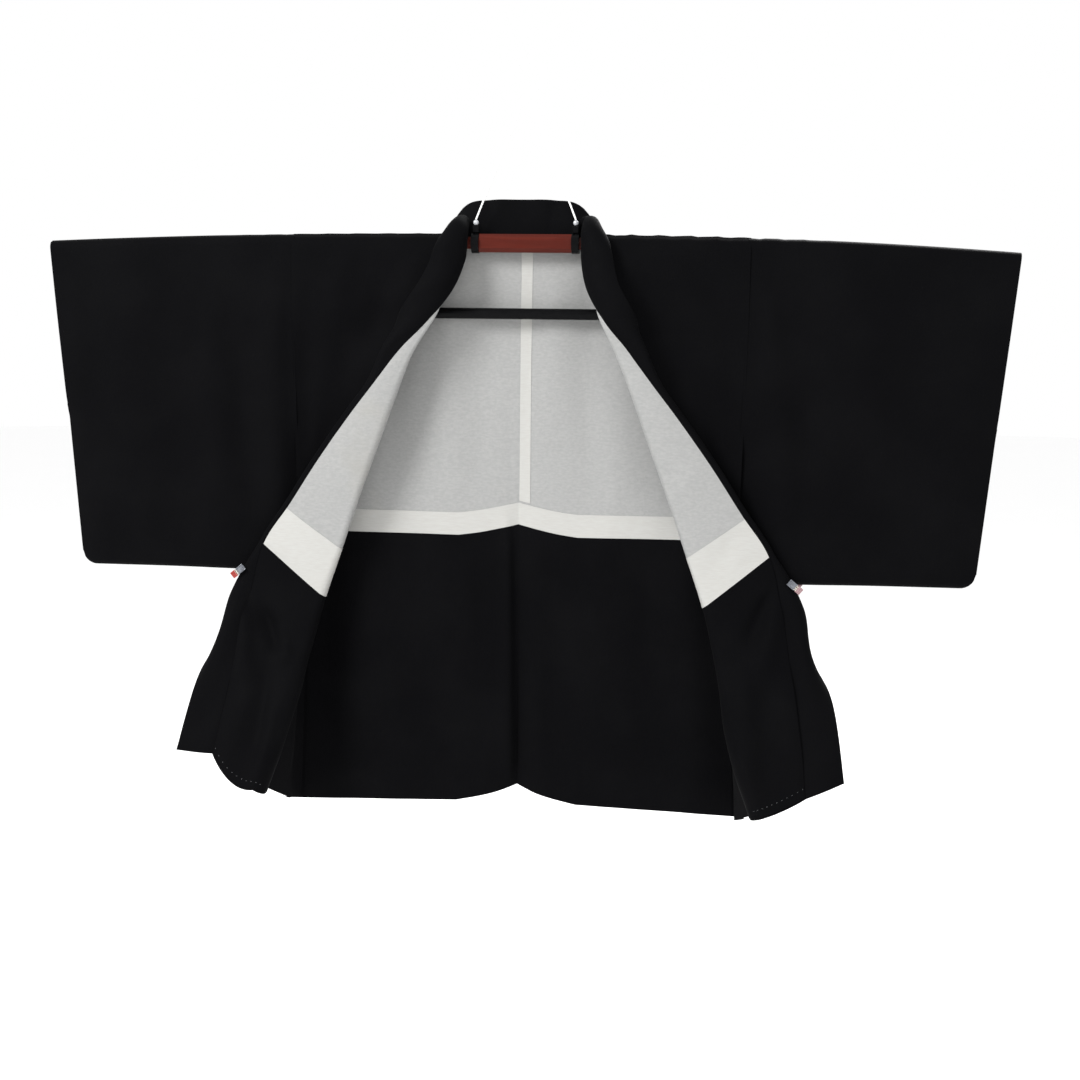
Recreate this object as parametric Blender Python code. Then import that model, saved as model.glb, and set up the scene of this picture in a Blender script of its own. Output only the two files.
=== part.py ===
"""A women's lined haori jacket hanging on an extending kimono hanger.

Metres, +Z up, X to the viewer's right, the fronts towards -Y. The origin is the point
of the hook that bears on a rail. Garment tables are in centimetres, for one side: their
x runs outward from the centre back seam. The fronts are turned back like lapels and
each is clipped to the bottom of its sleeve.
"""

import math
from collections import namedtuple

import bmesh
import bpy
import numpy as np
from mathutils import Matrix, Vector

CM = 0.01

# Cloth walls and the space left between two pieces.
CREPE = 0.0014
LINING = 0.0010
COLLAR_WALL = 0.0030
LAYER_GAP = 0.0004
LINING_OFFSET = CREPE / 2 + LAYER_GAP + LINING / 2

# The garment sits a little to one side on the hanger, and its neckline leans after the pole.
GARMENT_SHIFT = -0.009
NECK_LEAN = 0.9
SIDES = {"left": -1.0, "right": 1.0}
SHOULDER_TOP = -23.27
ARM_DROOP = {"left": 4.2e-4, "right": 6.4e-4}
DROOP_START = 10.0

# Sleeve: a flat bag on the hanger's arm.
SLEEVE_TIP = {"left": (66.0, 60.7), "right": (66.8, 60.9)}
SLEEVE_BOTTOM = -69.6
ARMHOLE_Z = -50.0
CLIP_X = 37.5
SLEEVE_CORNER = 1.8
CUFF_OPENING = 22.5
SLEEVE_TOP_RADIUS = 1.25

# Hanger.
POLE_Z = -0.2455
POLE_HALF_LENGTH = 0.063
POLE_HEIGHT = 0.025
POLE_DEPTH = 0.019
RING_LENGTH = 0.010
RING_RADIUS = 0.0138
ARM_RADIUS = 0.0085
ARM_Z = -0.2450
ARM_TIP = 0.620
OBI_BAR_Z = -0.341
OBI_BAR_RADIUS = 0.0075
OBI_BAR_HALF_LENGTH = 0.165
LINK_X = 0.140
LINK_RADIUS = 0.0022
BAIL_FOOT = (0.056, -0.2140)
BAIL_TOP_Z = -0.052
BAIL_RADIUS = 0.0012
HOOK_WIRE_RADIUS = 0.0019
HOOK_RADIUS = 0.021

COLOURS = {
    "crepe": ((0.011, 0.011, 0.013), 0.85, 0.0),
    "crepe_facing": ((0.013, 0.013, 0.015), 0.85, 0.0),
    "silk_lining": ((0.56, 0.56, 0.55), 0.6, 0.0),
    "cream_band": ((0.80, 0.80, 0.76), 0.6, 0.0),
    "brown_plastic": ((0.12, 0.020, 0.012), 0.35, 0.0),
    "black_plastic": ((0.010, 0.010, 0.011), 0.4, 0.0),
    "white_wire": ((0.85, 0.85, 0.84), 0.4, 0.0),
    "clip_plastic": ((0.75, 0.30, 0.26), 0.25, 0.0),
}

# The side seam's distance from the centre back seam, from the shoulder down.
SIDE_LINE = {"z": (-101.0, -81.0, -66.0, -50.0, -36.0, -23.0), "x": (29.9, 29.6, 29.8, 30.5, 31.05, 31.3)}

# Front panel, one row for each section from the shoulder crest down to the hem. seam is
# where the collar joins, roll the turned-back edge with its radius, side_y and side_z the
# sleeve or gusset seam. Above the point of the neckline there is no roll: spread is then
# the spacing of the section's first points. bow_out curves the turned-back strip towards
# the front, bow_in the rest of the panel towards the back, sag lowers the strip's middle.
FrontRow = namedtuple("FrontRow", "seam roll radius side_y side_z spread bow_out bow_in sag")
FRONT_ROWS = [
    FrontRow((8.2, 0.0, -23.27), None, 0.2, 0.0, -23.27, 1.6, 0, 0.0, 0),
    FrontRow((7.9, -1.25, -24.4), None, 0.2, -1.25, -24.4, 1.4, 0, 0.0, 0),
    FrontRow((8.0, -2.5, -27.2), None, 0.2, -1.45, -28.0, 1.1, 0, 0.4, 0),
    FrontRow((9.2, -3.6, -31.0), None, 0.2, -1.50, -33.5, 0.6, 0, 0.9, 0),
    FrontRow((11.9, -4.7, -35.0), (11.5, -4.4, -35.3), 0.22, -1.5, -38.5, 0, 0.00, 1.7, 0),
    FrontRow((15.3, -4.8, -38.9), (13.9, -4.3, -39.6), 0.45, -1.5, -42.0, 0, 0.05, 1.5, 0),
    FrontRow((18.9, -4.8, -43.6), (16.1, -4.0, -45.2), 0.70, -1.4, -46.0, 0, 0.10, 0.9, 0),
    FrontRow((22.3, -4.6, -48.0), (17.9, -3.9, -50.3), 0.75, -1.3, -49.8, 0, 0.20, 0.8, 0),
    FrontRow((26.6, -4.2, -54.0), (20.6, -3.7, -58.0), 0.75, -1.1, -57.8, 0, 0.25, 0.7, 0),
    FrontRow((30.5, -3.8, -60.0), (23.0, -3.4, -65.2), 0.75, -0.9, -65.4, 0, 0.25, 0.6, 0),
    FrontRow((34.2, -3.5, -65.6), (25.5, -3.5, -72.6), 0.85, -0.9, -73.0, 0, 0.25, 0.5, 0),
    FrontRow((35.9, -3.9, -72.8), (27.2, -4.8, -79.6), 1.10, -1.7, -80.6, 0, 0.35, 0.2, 0.2),
]
FRONT_LOWER_ROWS = {
    "left": [
        FrontRow((37.2, -6.6, -81.4), (29.1, -8.4, -87.4), 1.3, -3.0, -89.0, 0, 0.5, 0.0, 0.6),
        FrontRow((39.0, -10.0, -92.9), (31.2, -12.0, -97.3), 1.5, -4.2, -99.9, 0, 0.7, 0.0, 1.2),
    ],
    "right": [
        FrontRow((37.3, -6.6, -82.0), (29.0, -8.4, -87.8), 1.3, -3.0, -89.2, 0, 0.4, 0.0, 0.1),
        FrontRow((39.0, -10.0, -95.6), (32.0, -12.0, -97.9), 1.5, -4.2, -100.3, 0, 0.5, 0.0, 0.1),
    ],
}
ROW_ARMHOLE, ROW_BAND_TOP, ROW_LINING_END, ROW_FRONT_HEM = 7, 9.12, 10, 13
FRONT_STATIONS = (0, 0.5, 1, 2, 3, 3.5, 3.75, 4, 4.5, 5, 5.5, 6, 7, 7.7, 8.4, 9.12, 10, 10.75, 11.5, 12.25, 13)
FRONT_COLUMNS = (0.0, 1.0, 2.0, 2.6, 3.0, 3.4, 4.0, 5.0, 6.0)

# Back panel, rows from the shoulder crest down to the hem: heights and depths at the
# centre seam, beside it, at the neck column and at the side.
BackRow = namedtuple("BackRow", "z_centre z_neck z_side y_centre y_near y_neck y_side")
BACK_ROWS = [
    BackRow(-23.3, -23.27, -23.27, 1.0, 0.8, 0.00, 0.00),
    BackRow(-24.5, -24.40, -24.40, 2.15, 2.05, 1.75, 1.25),
    BackRow(-28.5, -28.0, -28.0, 2.10, 2.05, 1.80, 1.40),
    BackRow(-38.5, -38.5, -38.5, 2.20, 2.10, 1.90, 1.50),
    BackRow(-49.2, -50.0, -49.8, 2.30, 2.10, 1.95, 1.40),
    BackRow(-64.0, -65.6, -65.4, 2.70, 2.15, 2.00, 1.50),
    BackRow(-80.0, -81.5, -81.5, 3.20, 2.30, 2.05, 1.70),
    BackRow(-91.5, -93.2, -93.4, 3.60, 2.40, 2.05, 1.90),
    BackRow(-98.8, -100.9, -101.5, 3.80, 2.50, 2.05, 2.00),
]
ROW_NECKLINE, ROW_LINING_TOP, ROW_BACK_ARMHOLE = 1, 1.25, 4
ROW_BACK_BAND_TOP, ROW_BACK_LINING_END, ROW_BACK_HEM = 4.74, 4.93, 8
BACK_STATIONS = (8, 7.3, 6.6, 6, 5.5, 4.93, 4.74, 4.37, 4, 3.4, 2.8, 2.2, 1.6, 1.25, 1, 0.5)
NECK_COLUMNS_X = (0.0, 2.7, 5.4)
NECK_COLUMNS = (0.01, 1.0, 2.0)
CREST_FRACTIONS = (0.0, 0.07, 0.14, 0.21, 0.28, 0.62, 1.0)

# Collar, one row for each section from the centre back to the hem. A section leaves the
# neck seam at the angle start, runs straight for lead, bends through turn on radius and
# runs straight for the rest of width. azimuth and tilt aim its outward axis, lean its
# second axis, which points up at the neck and forward on the fronts. seam is given only
# behind the crest.
CollarRow = namedtuple("CollarRow", "t seam azimuth tilt lean width start lead turn radius")
COLLAR_ROWS = [
    CollarRow(-4, (0.0, 2.35, -24.05), 90, 0, 0, 5.7, 84, 0, -4, 20.0),
    CollarRow(-3, (4.2, 2.20, -24.05), 78, 0, 0, 5.7, 86, 0, -12, 16.0),
    CollarRow(-2, (6.9, 1.75, -23.95), 48, 0, 0, 5.7, 96, 0.3, -98, 2.7),
    CollarRow(-1, (7.9, 0.95, -23.55), 18, 0, 0, 5.7, 102, 1.35, -168, 1.05),
    CollarRow(0, None, 0, 0, 0, 5.7, 104, 1.2, -180, 1.00),
    CollarRow(1, None, 0, 0, 45, 5.6, 100, 0.3, -165, 1.7),
    CollarRow(2, None, 0, -6, 85, 5.6, 72, 0, -105, 3.0),
    CollarRow(3, None, 0, 2, 90, 5.6, 66, 0, -92, 3.5),
    CollarRow(4, None, 0, 8, 90, 5.1, 50, 0, -114, 2.4),
    CollarRow(5, None, 0, 25, 90, 4.8, 22, 1.5, -200, 0.60),
    CollarRow(6, None, 0, 36, 90, 5.0, 14, 0.2, -194, 0.58),
    CollarRow(7, None, 0, 36, 90, 5.2, 12, 0, -190, 0.58),
    CollarRow(8, None, 0, 36, 90, 5.4, 10, 0, -188, 0.52),
    CollarRow(9, None, 0, 36, 90, 5.4, 8, 0, -186, 0.46),
    CollarRow(10, None, 0, 34, 90, 5.4, 4, 0, -180, 0.45),
    CollarRow(11, None, 0, 10, 90, 5.4, 10, 1.3, -150, 1.2),
]
COLLAR_LOWER_ROWS = {
    "left": [
        CollarRow(12, None, 0, 3, 90, 5.4, 0, 1.8, -80, 2.1),
        CollarRow(13, None, 0, 1, 90, 5.4, 0, 0, -16, 14.0),
    ],
    "right": [
        CollarRow(12, None, 0, 9, 90, 5.4, 0, 1.6, -84, 2.1),
        CollarRow(13, None, 0, 22, 90, 5.4, 0, 0, -16, 14.0),
    ],
}
COLLAR_NECK_END = -2.0
COLLAR_STRETCHES = {
    "chest": (COLLAR_NECK_END, 4.0, 11),
    "turned": (4.0, 10.5, 13),
    "end": (10.5, 13.0, 8),
}
COLLAR_STAND_OFF = 0.19
COLLAR_GAP = 0.008


# ---------------------------------------------------------------- splines


def catmull_rom(points, t):
    """The point at t on a Catmull-Rom curve that passes points[i] at t = i."""
    points = np.asarray(points, float)
    last = len(points) - 1
    t = min(max(t, 0.0), float(last))
    i = min(int(t), last - 1)
    f = t - i
    before = points[i - 1] if i > 0 else 2 * points[0] - points[1]
    after = points[i + 2] if i + 2 <= last else 2 * points[last] - points[last - 1]
    a, b = points[i], points[i + 1]
    return (
        a
        + 0.5 * f * (b - before)
        + f * f * (before - 2.5 * a + 2 * b - 0.5 * after)
        + 0.5 * f**3 * (3 * a - 3 * b + after - before)
    )


class Net:
    """A surface through a net of control points, rows along u and columns along v."""

    def __init__(self, rows):
        self.rows = [np.asarray(row, float) for row in rows]

    def at(self, u, v):
        return catmull_rom([catmull_rom(row, v) for row in self.rows], u)

    def normal(self, u, v, step=0.04):
        along = self.at(u + step, v) - self.at(u - step, v)
        across = self.at(u, v + step) - self.at(u, v - step)
        normal = np.cross(along, across)
        return normal / max(np.linalg.norm(normal), 1e-9)


def clamp(value, low=0.0, high=1.0):
    return min(max(value, low), high)


def side_line(z):
    """The side seam's x at the height z, in centimetres."""
    return float(np.interp(z, SIDE_LINE["z"], SIDE_LINE["x"]))


def to_world(point, side):
    """A garment point in centimetres, on one side, as metres in the part's frame."""
    x, y, z = point
    lean = NECK_LEAN * clamp((z + 40) / 13) * clamp((31 - x) / 20) * clamp((2.0 - y) / 1.5)
    return Vector(((SIDES[side] * x + lean) * CM + GARMENT_SHIFT, y * CM, z * CM))


def droop(x, side):
    """How far the hanger's arm has bent down at x, in centimetres."""
    return ARM_DROOP[side] * max(x - DROOP_START, 0.0) ** 2


# ---------------------------------------------------------------- walls


def material(name):
    found = bpy.data.materials.get(name)
    if found:
        return found
    colour, roughness, metallic = COLOURS[name]
    found = bpy.data.materials.new(name)
    found.use_nodes = True
    shader = found.node_tree.nodes["Principled BSDF"]
    shader.inputs["Base Color"].default_value = (*colour, 1.0)
    shader.inputs["Roughness"].default_value = roughness
    shader.inputs["Metallic"].default_value = metallic
    found.diffuse_color = (*colour, 1.0)
    return found


def add_object(name, mesh, material_name, smooth_angle=40):
    mesh.materials.append(material(material_name))
    mesh.shade_smooth()
    mesh.set_sharp_from_angle(angle=math.radians(smooth_angle))
    thing = bpy.data.objects.new(name, mesh)
    bpy.context.scene.collection.objects.link(thing)
    return thing


def finish_mesh(name, bm, material_name, smooth_angle=40):
    bmesh.ops.recalc_face_normals(bm, faces=bm.faces)
    mesh = bpy.data.meshes.new(name)
    bm.to_mesh(mesh)
    bm.free()
    return add_object(name, mesh, material_name, smooth_angle)


def cloth_wall(name, points, normals, cells, wall, material_name):
    """A closed wall on a grid: points and normals are keyed (i, j), cells lists the quads kept."""
    bm = bmesh.new()
    outer, inner = {}, {}

    def corner(key):
        if key not in outer:
            shift = Vector(normals[key]) * (wall / 2)
            outer[key] = bm.verts.new(points[key] + shift)
            inner[key] = bm.verts.new(points[key] - shift)
        return key

    edges = {}
    for i, j in cells:
        a, b, c, d = (corner(key) for key in ((i, j), (i + 1, j), (i + 1, j + 1), (i, j + 1)))
        for loop in ((a, b, d), (b, c, d)):
            bm.faces.new([outer[key] for key in loop])
            bm.faces.new([inner[key] for key in reversed(loop)])
        for start, end in ((a, b), (b, c), (c, d), (d, a)):
            if (end, start) in edges:
                del edges[(end, start)]
            else:
                edges[(start, end)] = True
    for a, b in edges:
        bm.faces.new([outer[b], outer[a], inner[a], inner[b]])
    return finish_mesh(name, bm, material_name)


def grid_wall(name, surface, us, vs, wall, material_name, offset=0.0):
    """A cloth wall over a whole grid. surface(u, v) gives a point and its outward normal."""
    points, normals = {}, {}
    for i, u in enumerate(us):
        for j, v in enumerate(vs):
            point, normal = surface(u, v)
            points[i, j] = point + normal * offset
            normals[i, j] = normal
    cells = [(i, j) for i in range(len(us) - 1) for j in range(len(vs) - 1)]
    return cloth_wall(name, points, normals, cells, wall, material_name)


def steps(start, end, count):
    return [start + (end - start) * i / count for i in range(count + 1)]


# ---------------------------------------------------------------- body panels


class FrontPanel:
    """The front of one side. v runs from the collar seam at 0 over the roll, 2 to 4, to the side at 6."""

    def __init__(self, rows):
        self.rows = []
        for row in rows:
            roll = row.roll or np.subtract(row.seam, (0.3, -0.3, 0.3))
            side = (side_line(row.side_z), row.side_y, row.side_z)
            shape = (row.radius, row.spread, row.bow_out, row.bow_in, row.sag)
            self.rows.append(np.array((*row.seam, *roll, *side, *shape, float(row.roll is None))))

    def seam(self, row):
        return self.rows[row][:3]

    def at(self, u, v):
        values = catmull_rom(self.rows, u)
        seam, roll, side = values[0:3], values[3:6], values[6:9]
        radius, spread, bow_out, bow_in, sag, openness = values[9:]
        openness = clamp(openness)
        v = clamp(v, 0.0, 6.0)
        rolled = self.rolled(v, seam, roll, side, radius, (0, -bow_out, -sag), (0, bow_in, 0))
        if openness == 0:
            return rolled
        return openness * self.plain(v, seam, side, spread, bow_in) + (1 - openness) * rolled

    @staticmethod
    def plain(v, seam, side, spread, bow_in):
        """A point of a section that isn't turned back."""
        first = spread * 4 / np.linalg.norm(side - seam)
        f = first * v / 4 if v < 4 else first + (1 - first) * (v - 4) / 2
        fall = math.sin(math.pi / 2 * min(f * 1.9, 1.0)) * (1 - f**3)
        return seam + (side - seam) * f + np.array((0, bow_in * fall, 0))

    @staticmethod
    def rolled(v, seam, roll, side, radius, strip_bow, side_bow):
        """A point of a turned-back section: the strip, a half turn about the roll, the way back."""
        across = (seam - roll) * (1, 0, 1)
        across = across / np.linalg.norm(across)
        forward = np.array((0.0, -1.0, 0.0))
        centre = roll + across * radius
        if 2 < v < 4:
            angle = math.pi * (v - 2) / 2
            return centre + radius * (forward * math.cos(angle) - across * math.sin(angle))
        if v <= 2:
            start, end, bow, f = seam, centre + forward * radius, strip_bow, v / 2
        else:
            start, end, bow, f = centre - forward * radius, side, side_bow, (v - 4) / 2
        return start + (end - start) * f + np.array(bow) * (4 * f * (1 - f))

    def normal(self, u, v, step=0.04):
        last = len(self.rows) - 1
        along = self.at(min(u + step, last), v) - self.at(max(u - step, 0), v)
        across = self.at(u, v + step) - self.at(u, v - step)
        normal = np.cross(along, across)
        return normal / max(np.linalg.norm(normal), 1e-9)


def back_control_row(row, skip_neck=True):
    """Control points of a back section: the neck columns, then the shoulder columns."""
    neck_x = FRONT_ROWS[0].seam[0]
    z_near = row.z_neck + (row.z_centre - row.z_neck) * 0.6
    z_inner = row.z_neck + (row.z_centre - row.z_neck) * 0.25
    y_inner = row.y_neck + (row.y_near - row.y_neck) * 0.6
    neck = [
        np.array((0.0, row.y_centre, row.z_centre)),
        np.array((NECK_COLUMNS_X[1], row.y_near, z_near)),
        np.array((NECK_COLUMNS_X[2], y_inner, z_inner)),
    ]
    start = np.array((neck_x, row.y_neck, row.z_neck))
    end = np.array((side_line(row.z_side), row.y_side, row.z_side))
    shoulder = [start + (end - start) * f for f in CREST_FRACTIONS]
    return shoulder if skip_neck else neck + [shoulder[0]]


class BodySide:
    """The surfaces of one side of the body, in the part's frame."""

    def __init__(self, side):
        self.side = side
        rows = FRONT_ROWS + FRONT_LOWER_ROWS[side]
        self.front = FrontPanel(rows)
        self.back = Net([back_control_row(row) for row in BACK_ROWS])
        self.neck = Net([back_control_row(row, skip_neck=False) for row in BACK_ROWS])

    def lowered(self, point, fade_z=-60.0):
        """The point, lowered with the hanger's arm."""
        fade = min(max((point[2] - fade_z) / (SHOULDER_TOP - fade_z), 0.0), 1.0)
        return point - np.array((0, 0, droop(point[0], self.side) * fade))

    def world_normal(self, normal, outward):
        normal = Vector((SIDES[self.side] * normal[0], normal[1], normal[2])) * outward
        return normal.normalized()

    def front_surface(self, u, v):
        point = self.lowered(self.front.at(u, v))
        return to_world(point, self.side), self.world_normal(self.front.normal(u, v), 1)

    def back_surface(self, u, v):
        point = self.lowered(self.back.at(u, v))
        return to_world(point, self.side), self.world_normal(self.back.normal(u, v), -1)

    def neck_surface(self, u, v):
        point = self.lowered(self.neck.at(u, v))
        normal = self.neck.normal(u, v)
        if v < 0.1:
            normal[0] = 0.0
        return to_world(point, self.side), self.world_normal(normal, -1)


def body_panel(side, body):
    """Back and front of one side in a single length, with no seam on the shoulder."""
    points, normals, cells = {}, {}, []
    neck_count = len(NECK_COLUMNS)
    for i, u in enumerate(BACK_STATIONS):
        if u >= ROW_NECKLINE:
            for j, v in enumerate(NECK_COLUMNS):
                points[i, j], normals[i, j] = body.neck_surface(u, v)
        for j, v in enumerate(FRONT_COLUMNS):
            points[i, neck_count + j], normals[i, neck_count + j] = body.back_surface(u, v)
    crest = len(BACK_STATIONS)
    for i, u in enumerate(FRONT_STATIONS):
        for j, v in enumerate(FRONT_COLUMNS):
            key = (crest + i, neck_count + j)
            points[key], normals[key] = body.front_surface(u, v)
            if i == 0:
                normals[key] = Vector((0, 0, 1))
    for i in range(crest + len(FRONT_STATIONS) - 1):
        for j in range(neck_count + len(FRONT_COLUMNS) - 1):
            if j >= neck_count or (i + 1, j) in points:
                cells.append((i, j))
    return cloth_wall(f"body_panel_{side}", points, normals, cells, CREPE, "crepe")


def stations_between(stations, start, end):
    """start, the stations strictly between, and end, in rising order."""
    return [start] + sorted(u for u in stations if start + 0.05 < u < end - 0.05) + [end]


def back_inside(side, body):
    """Lining, its doubled lower band and the turned-up facing on the inside of the back."""
    gap = 0.012
    layers = [
        ("back_lining", "silk_lining", ROW_LINING_TOP, ROW_BACK_BAND_TOP - gap),
        ("back_lining_band", "cream_band", ROW_BACK_BAND_TOP, ROW_BACK_LINING_END - gap),
        ("back_facing", "crepe_facing", ROW_BACK_LINING_END, ROW_BACK_HEM - 0.03),
    ]
    neck_columns = (0.02,) + NECK_COLUMNS[1:]
    side_columns = FRONT_COLUMNS[:-1] + (FRONT_COLUMNS[-1] - 0.06,)
    for name, material_name, start, end in layers:
        rows = stations_between(BACK_STATIONS, start, end)[::-1]
        points, normals = {}, {}
        for i, u in enumerate(rows):
            for j, v in enumerate(neck_columns):
                points[i, j], normals[i, j] = body.neck_surface(u, v)
            for j, v in enumerate(side_columns):
                key = (i, len(neck_columns) + j)
                points[key], normals[key] = body.back_surface(u, v)
        for key in points:
            points[key] = points[key] - normals[key] * LINING_OFFSET
        last_column = len(neck_columns) + len(side_columns) - 1
        cells = [(i, j) for i in range(len(rows) - 1) for j in range(last_column)]
        cloth_wall(f"{name}_{side}", points, normals, cells, LINING, material_name)


def centre_allowance(body):
    """The cream strip of the lining's centre seam allowance, pressed to one side."""
    rows = stations_between(BACK_STATIONS, ROW_LINING_TOP, ROW_BACK_BAND_TOP - 0.02)
    offset = -(LINING_OFFSET + LINING + LAYER_GAP)
    grid_wall("centre_allowance", body.neck_surface, rows, (0.04, 0.55), LINING, "cream_band", offset)


def front_inside(side, body):
    """Lining, its doubled lower band and the turned-up facing on the inside of the front."""
    gap = 0.012
    columns = (0.05,) + FRONT_COLUMNS[1:-1] + (FRONT_COLUMNS[-1] - 0.06,)
    layers = [
        ("front_lining", "silk_lining", 2.0, ROW_BAND_TOP - gap),
        ("front_lining_band", "cream_band", ROW_BAND_TOP, ROW_LINING_END - gap),
        ("front_facing", "crepe_facing", ROW_LINING_END, ROW_FRONT_HEM - 0.03),
    ]
    for name, material_name, start, end in layers:
        rows = stations_between(FRONT_STATIONS, start, end)
        grid_wall(
            f"{name}_{side}", body.front_surface, rows, columns, LINING, material_name, -LINING_OFFSET
        )


def gusset(side, body):
    """The narrow wedge between the back and the front, from the armhole to the hem."""
    front_rows = [u for u in FRONT_STATIONS if u >= ROW_ARMHOLE]
    back_rows = sorted(u for u in BACK_STATIONS if u >= ROW_BACK_ARMHOLE)

    def surface(k, v):
        front = body.front.at(front_rows[k], 6.0)
        back = body.back.at(back_rows[k], 6.0)
        reach = back - front
        inset = 0.12 / np.linalg.norm(reach)
        point = front + reach * (inset + (1 - 2 * inset) * v)
        bow = 0.9 * math.sin(math.pi * v) * max(k / len(front_rows) - 0.35, 0.0)
        return to_world(point + np.array((bow - 0.08 * clamp(1 - k / 2), 0, 0)), side), Vector((SIDES[side], 0, 0))

    grid_wall(f"gusset_{side}", surface, range(len(front_rows)), steps(0, 1, 2), CREPE, "crepe")


# ---------------------------------------------------------------- collar


class Collar:
    """The folded collar band of one side, as a section swept along the neck seam."""

    def __init__(self, body):
        self.body = body
        rows = COLLAR_ROWS + COLLAR_LOWER_ROWS[body.side]
        self.first = rows[0].t
        self.values = [row[2:] for row in rows]
        self.seams = [row.seam if row.seam else body.front.seam(row.t) for row in rows]

    def at(self, t, v):
        """The point at the fraction v of the width, from the seam to the free edge."""
        place = t - self.first
        azimuth, tilt, lean, width, start, lead, turn, radius = catmull_rom(self.values, place)
        seam = catmull_rom(self.seams, place)
        azimuth, tilt, lean = map(math.radians, (azimuth, tilt, lean))
        start, turn = math.radians(start), math.radians(turn)
        out = np.array(
            (math.cos(azimuth) * math.cos(tilt), math.sin(azimuth) * math.cos(tilt), math.sin(tilt))
        )
        second = np.array((0, -math.sin(lean), math.cos(lean)))
        run = COLLAR_STAND_OFF + v * (width - COLLAR_STAND_OFF)
        lead = clamp(run, 0.0, max(lead, 0.0))
        bend = clamp(run - lead, 0.0, abs(turn) * radius)
        rest = run - lead - bend
        bow = math.copysign(radius, turn)
        angle = start + bend / bow
        along = lead * math.cos(start) + bow * (math.sin(angle) - math.sin(start)) + rest * math.cos(angle)
        up = lead * math.sin(start) + bow * (math.cos(start) - math.cos(angle)) + rest * math.sin(angle)
        return self.body.lowered(seam + out * along + second * up)

    def surface(self, t, v):
        step = 0.03
        along = self.at(t + step, v) - self.at(t - step, v)
        across = self.at(t, min(v + step, 1.0)) - self.at(t, max(v - step, 0.0))
        normal = np.cross(along, across)
        normal = normal / max(np.linalg.norm(normal), 1e-9)
        side = self.body.side
        return to_world(self.at(t, v), side), self.body.world_normal(normal, 1)


def collar_pieces(side, body):
    collar = Collar(body)
    for name, (start, end, count) in COLLAR_STRETCHES.items():
        rows = steps(start + COLLAR_GAP, end - COLLAR_GAP, count)
        grid_wall(f"collar_{name}_{side}", collar.surface, rows, steps(0, 1, 6), COLLAR_WALL, "crepe")


def collar_neck(bodies):
    """The stretch behind the neck, in one piece from shoulder to shoulder."""
    collars = {side: Collar(body) for side, body in bodies.items()}
    centre = COLLAR_ROWS[0].t

    def surface(u, v):
        collar = collars["left" if u < 0 else "right"]
        point, normal = collar.surface(centre + abs(u), v)
        if abs(u) < 1e-6:
            point.x, normal.x = GARMENT_SHIFT, 0.0
        return point, normal.normalized()

    reach = COLLAR_NECK_END - COLLAR_GAP - centre
    grid_wall("collar_neck", surface, steps(-reach, reach, 12), steps(0, 1, 6), COLLAR_WALL, "crepe")


# ---------------------------------------------------------------- sleeves


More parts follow.
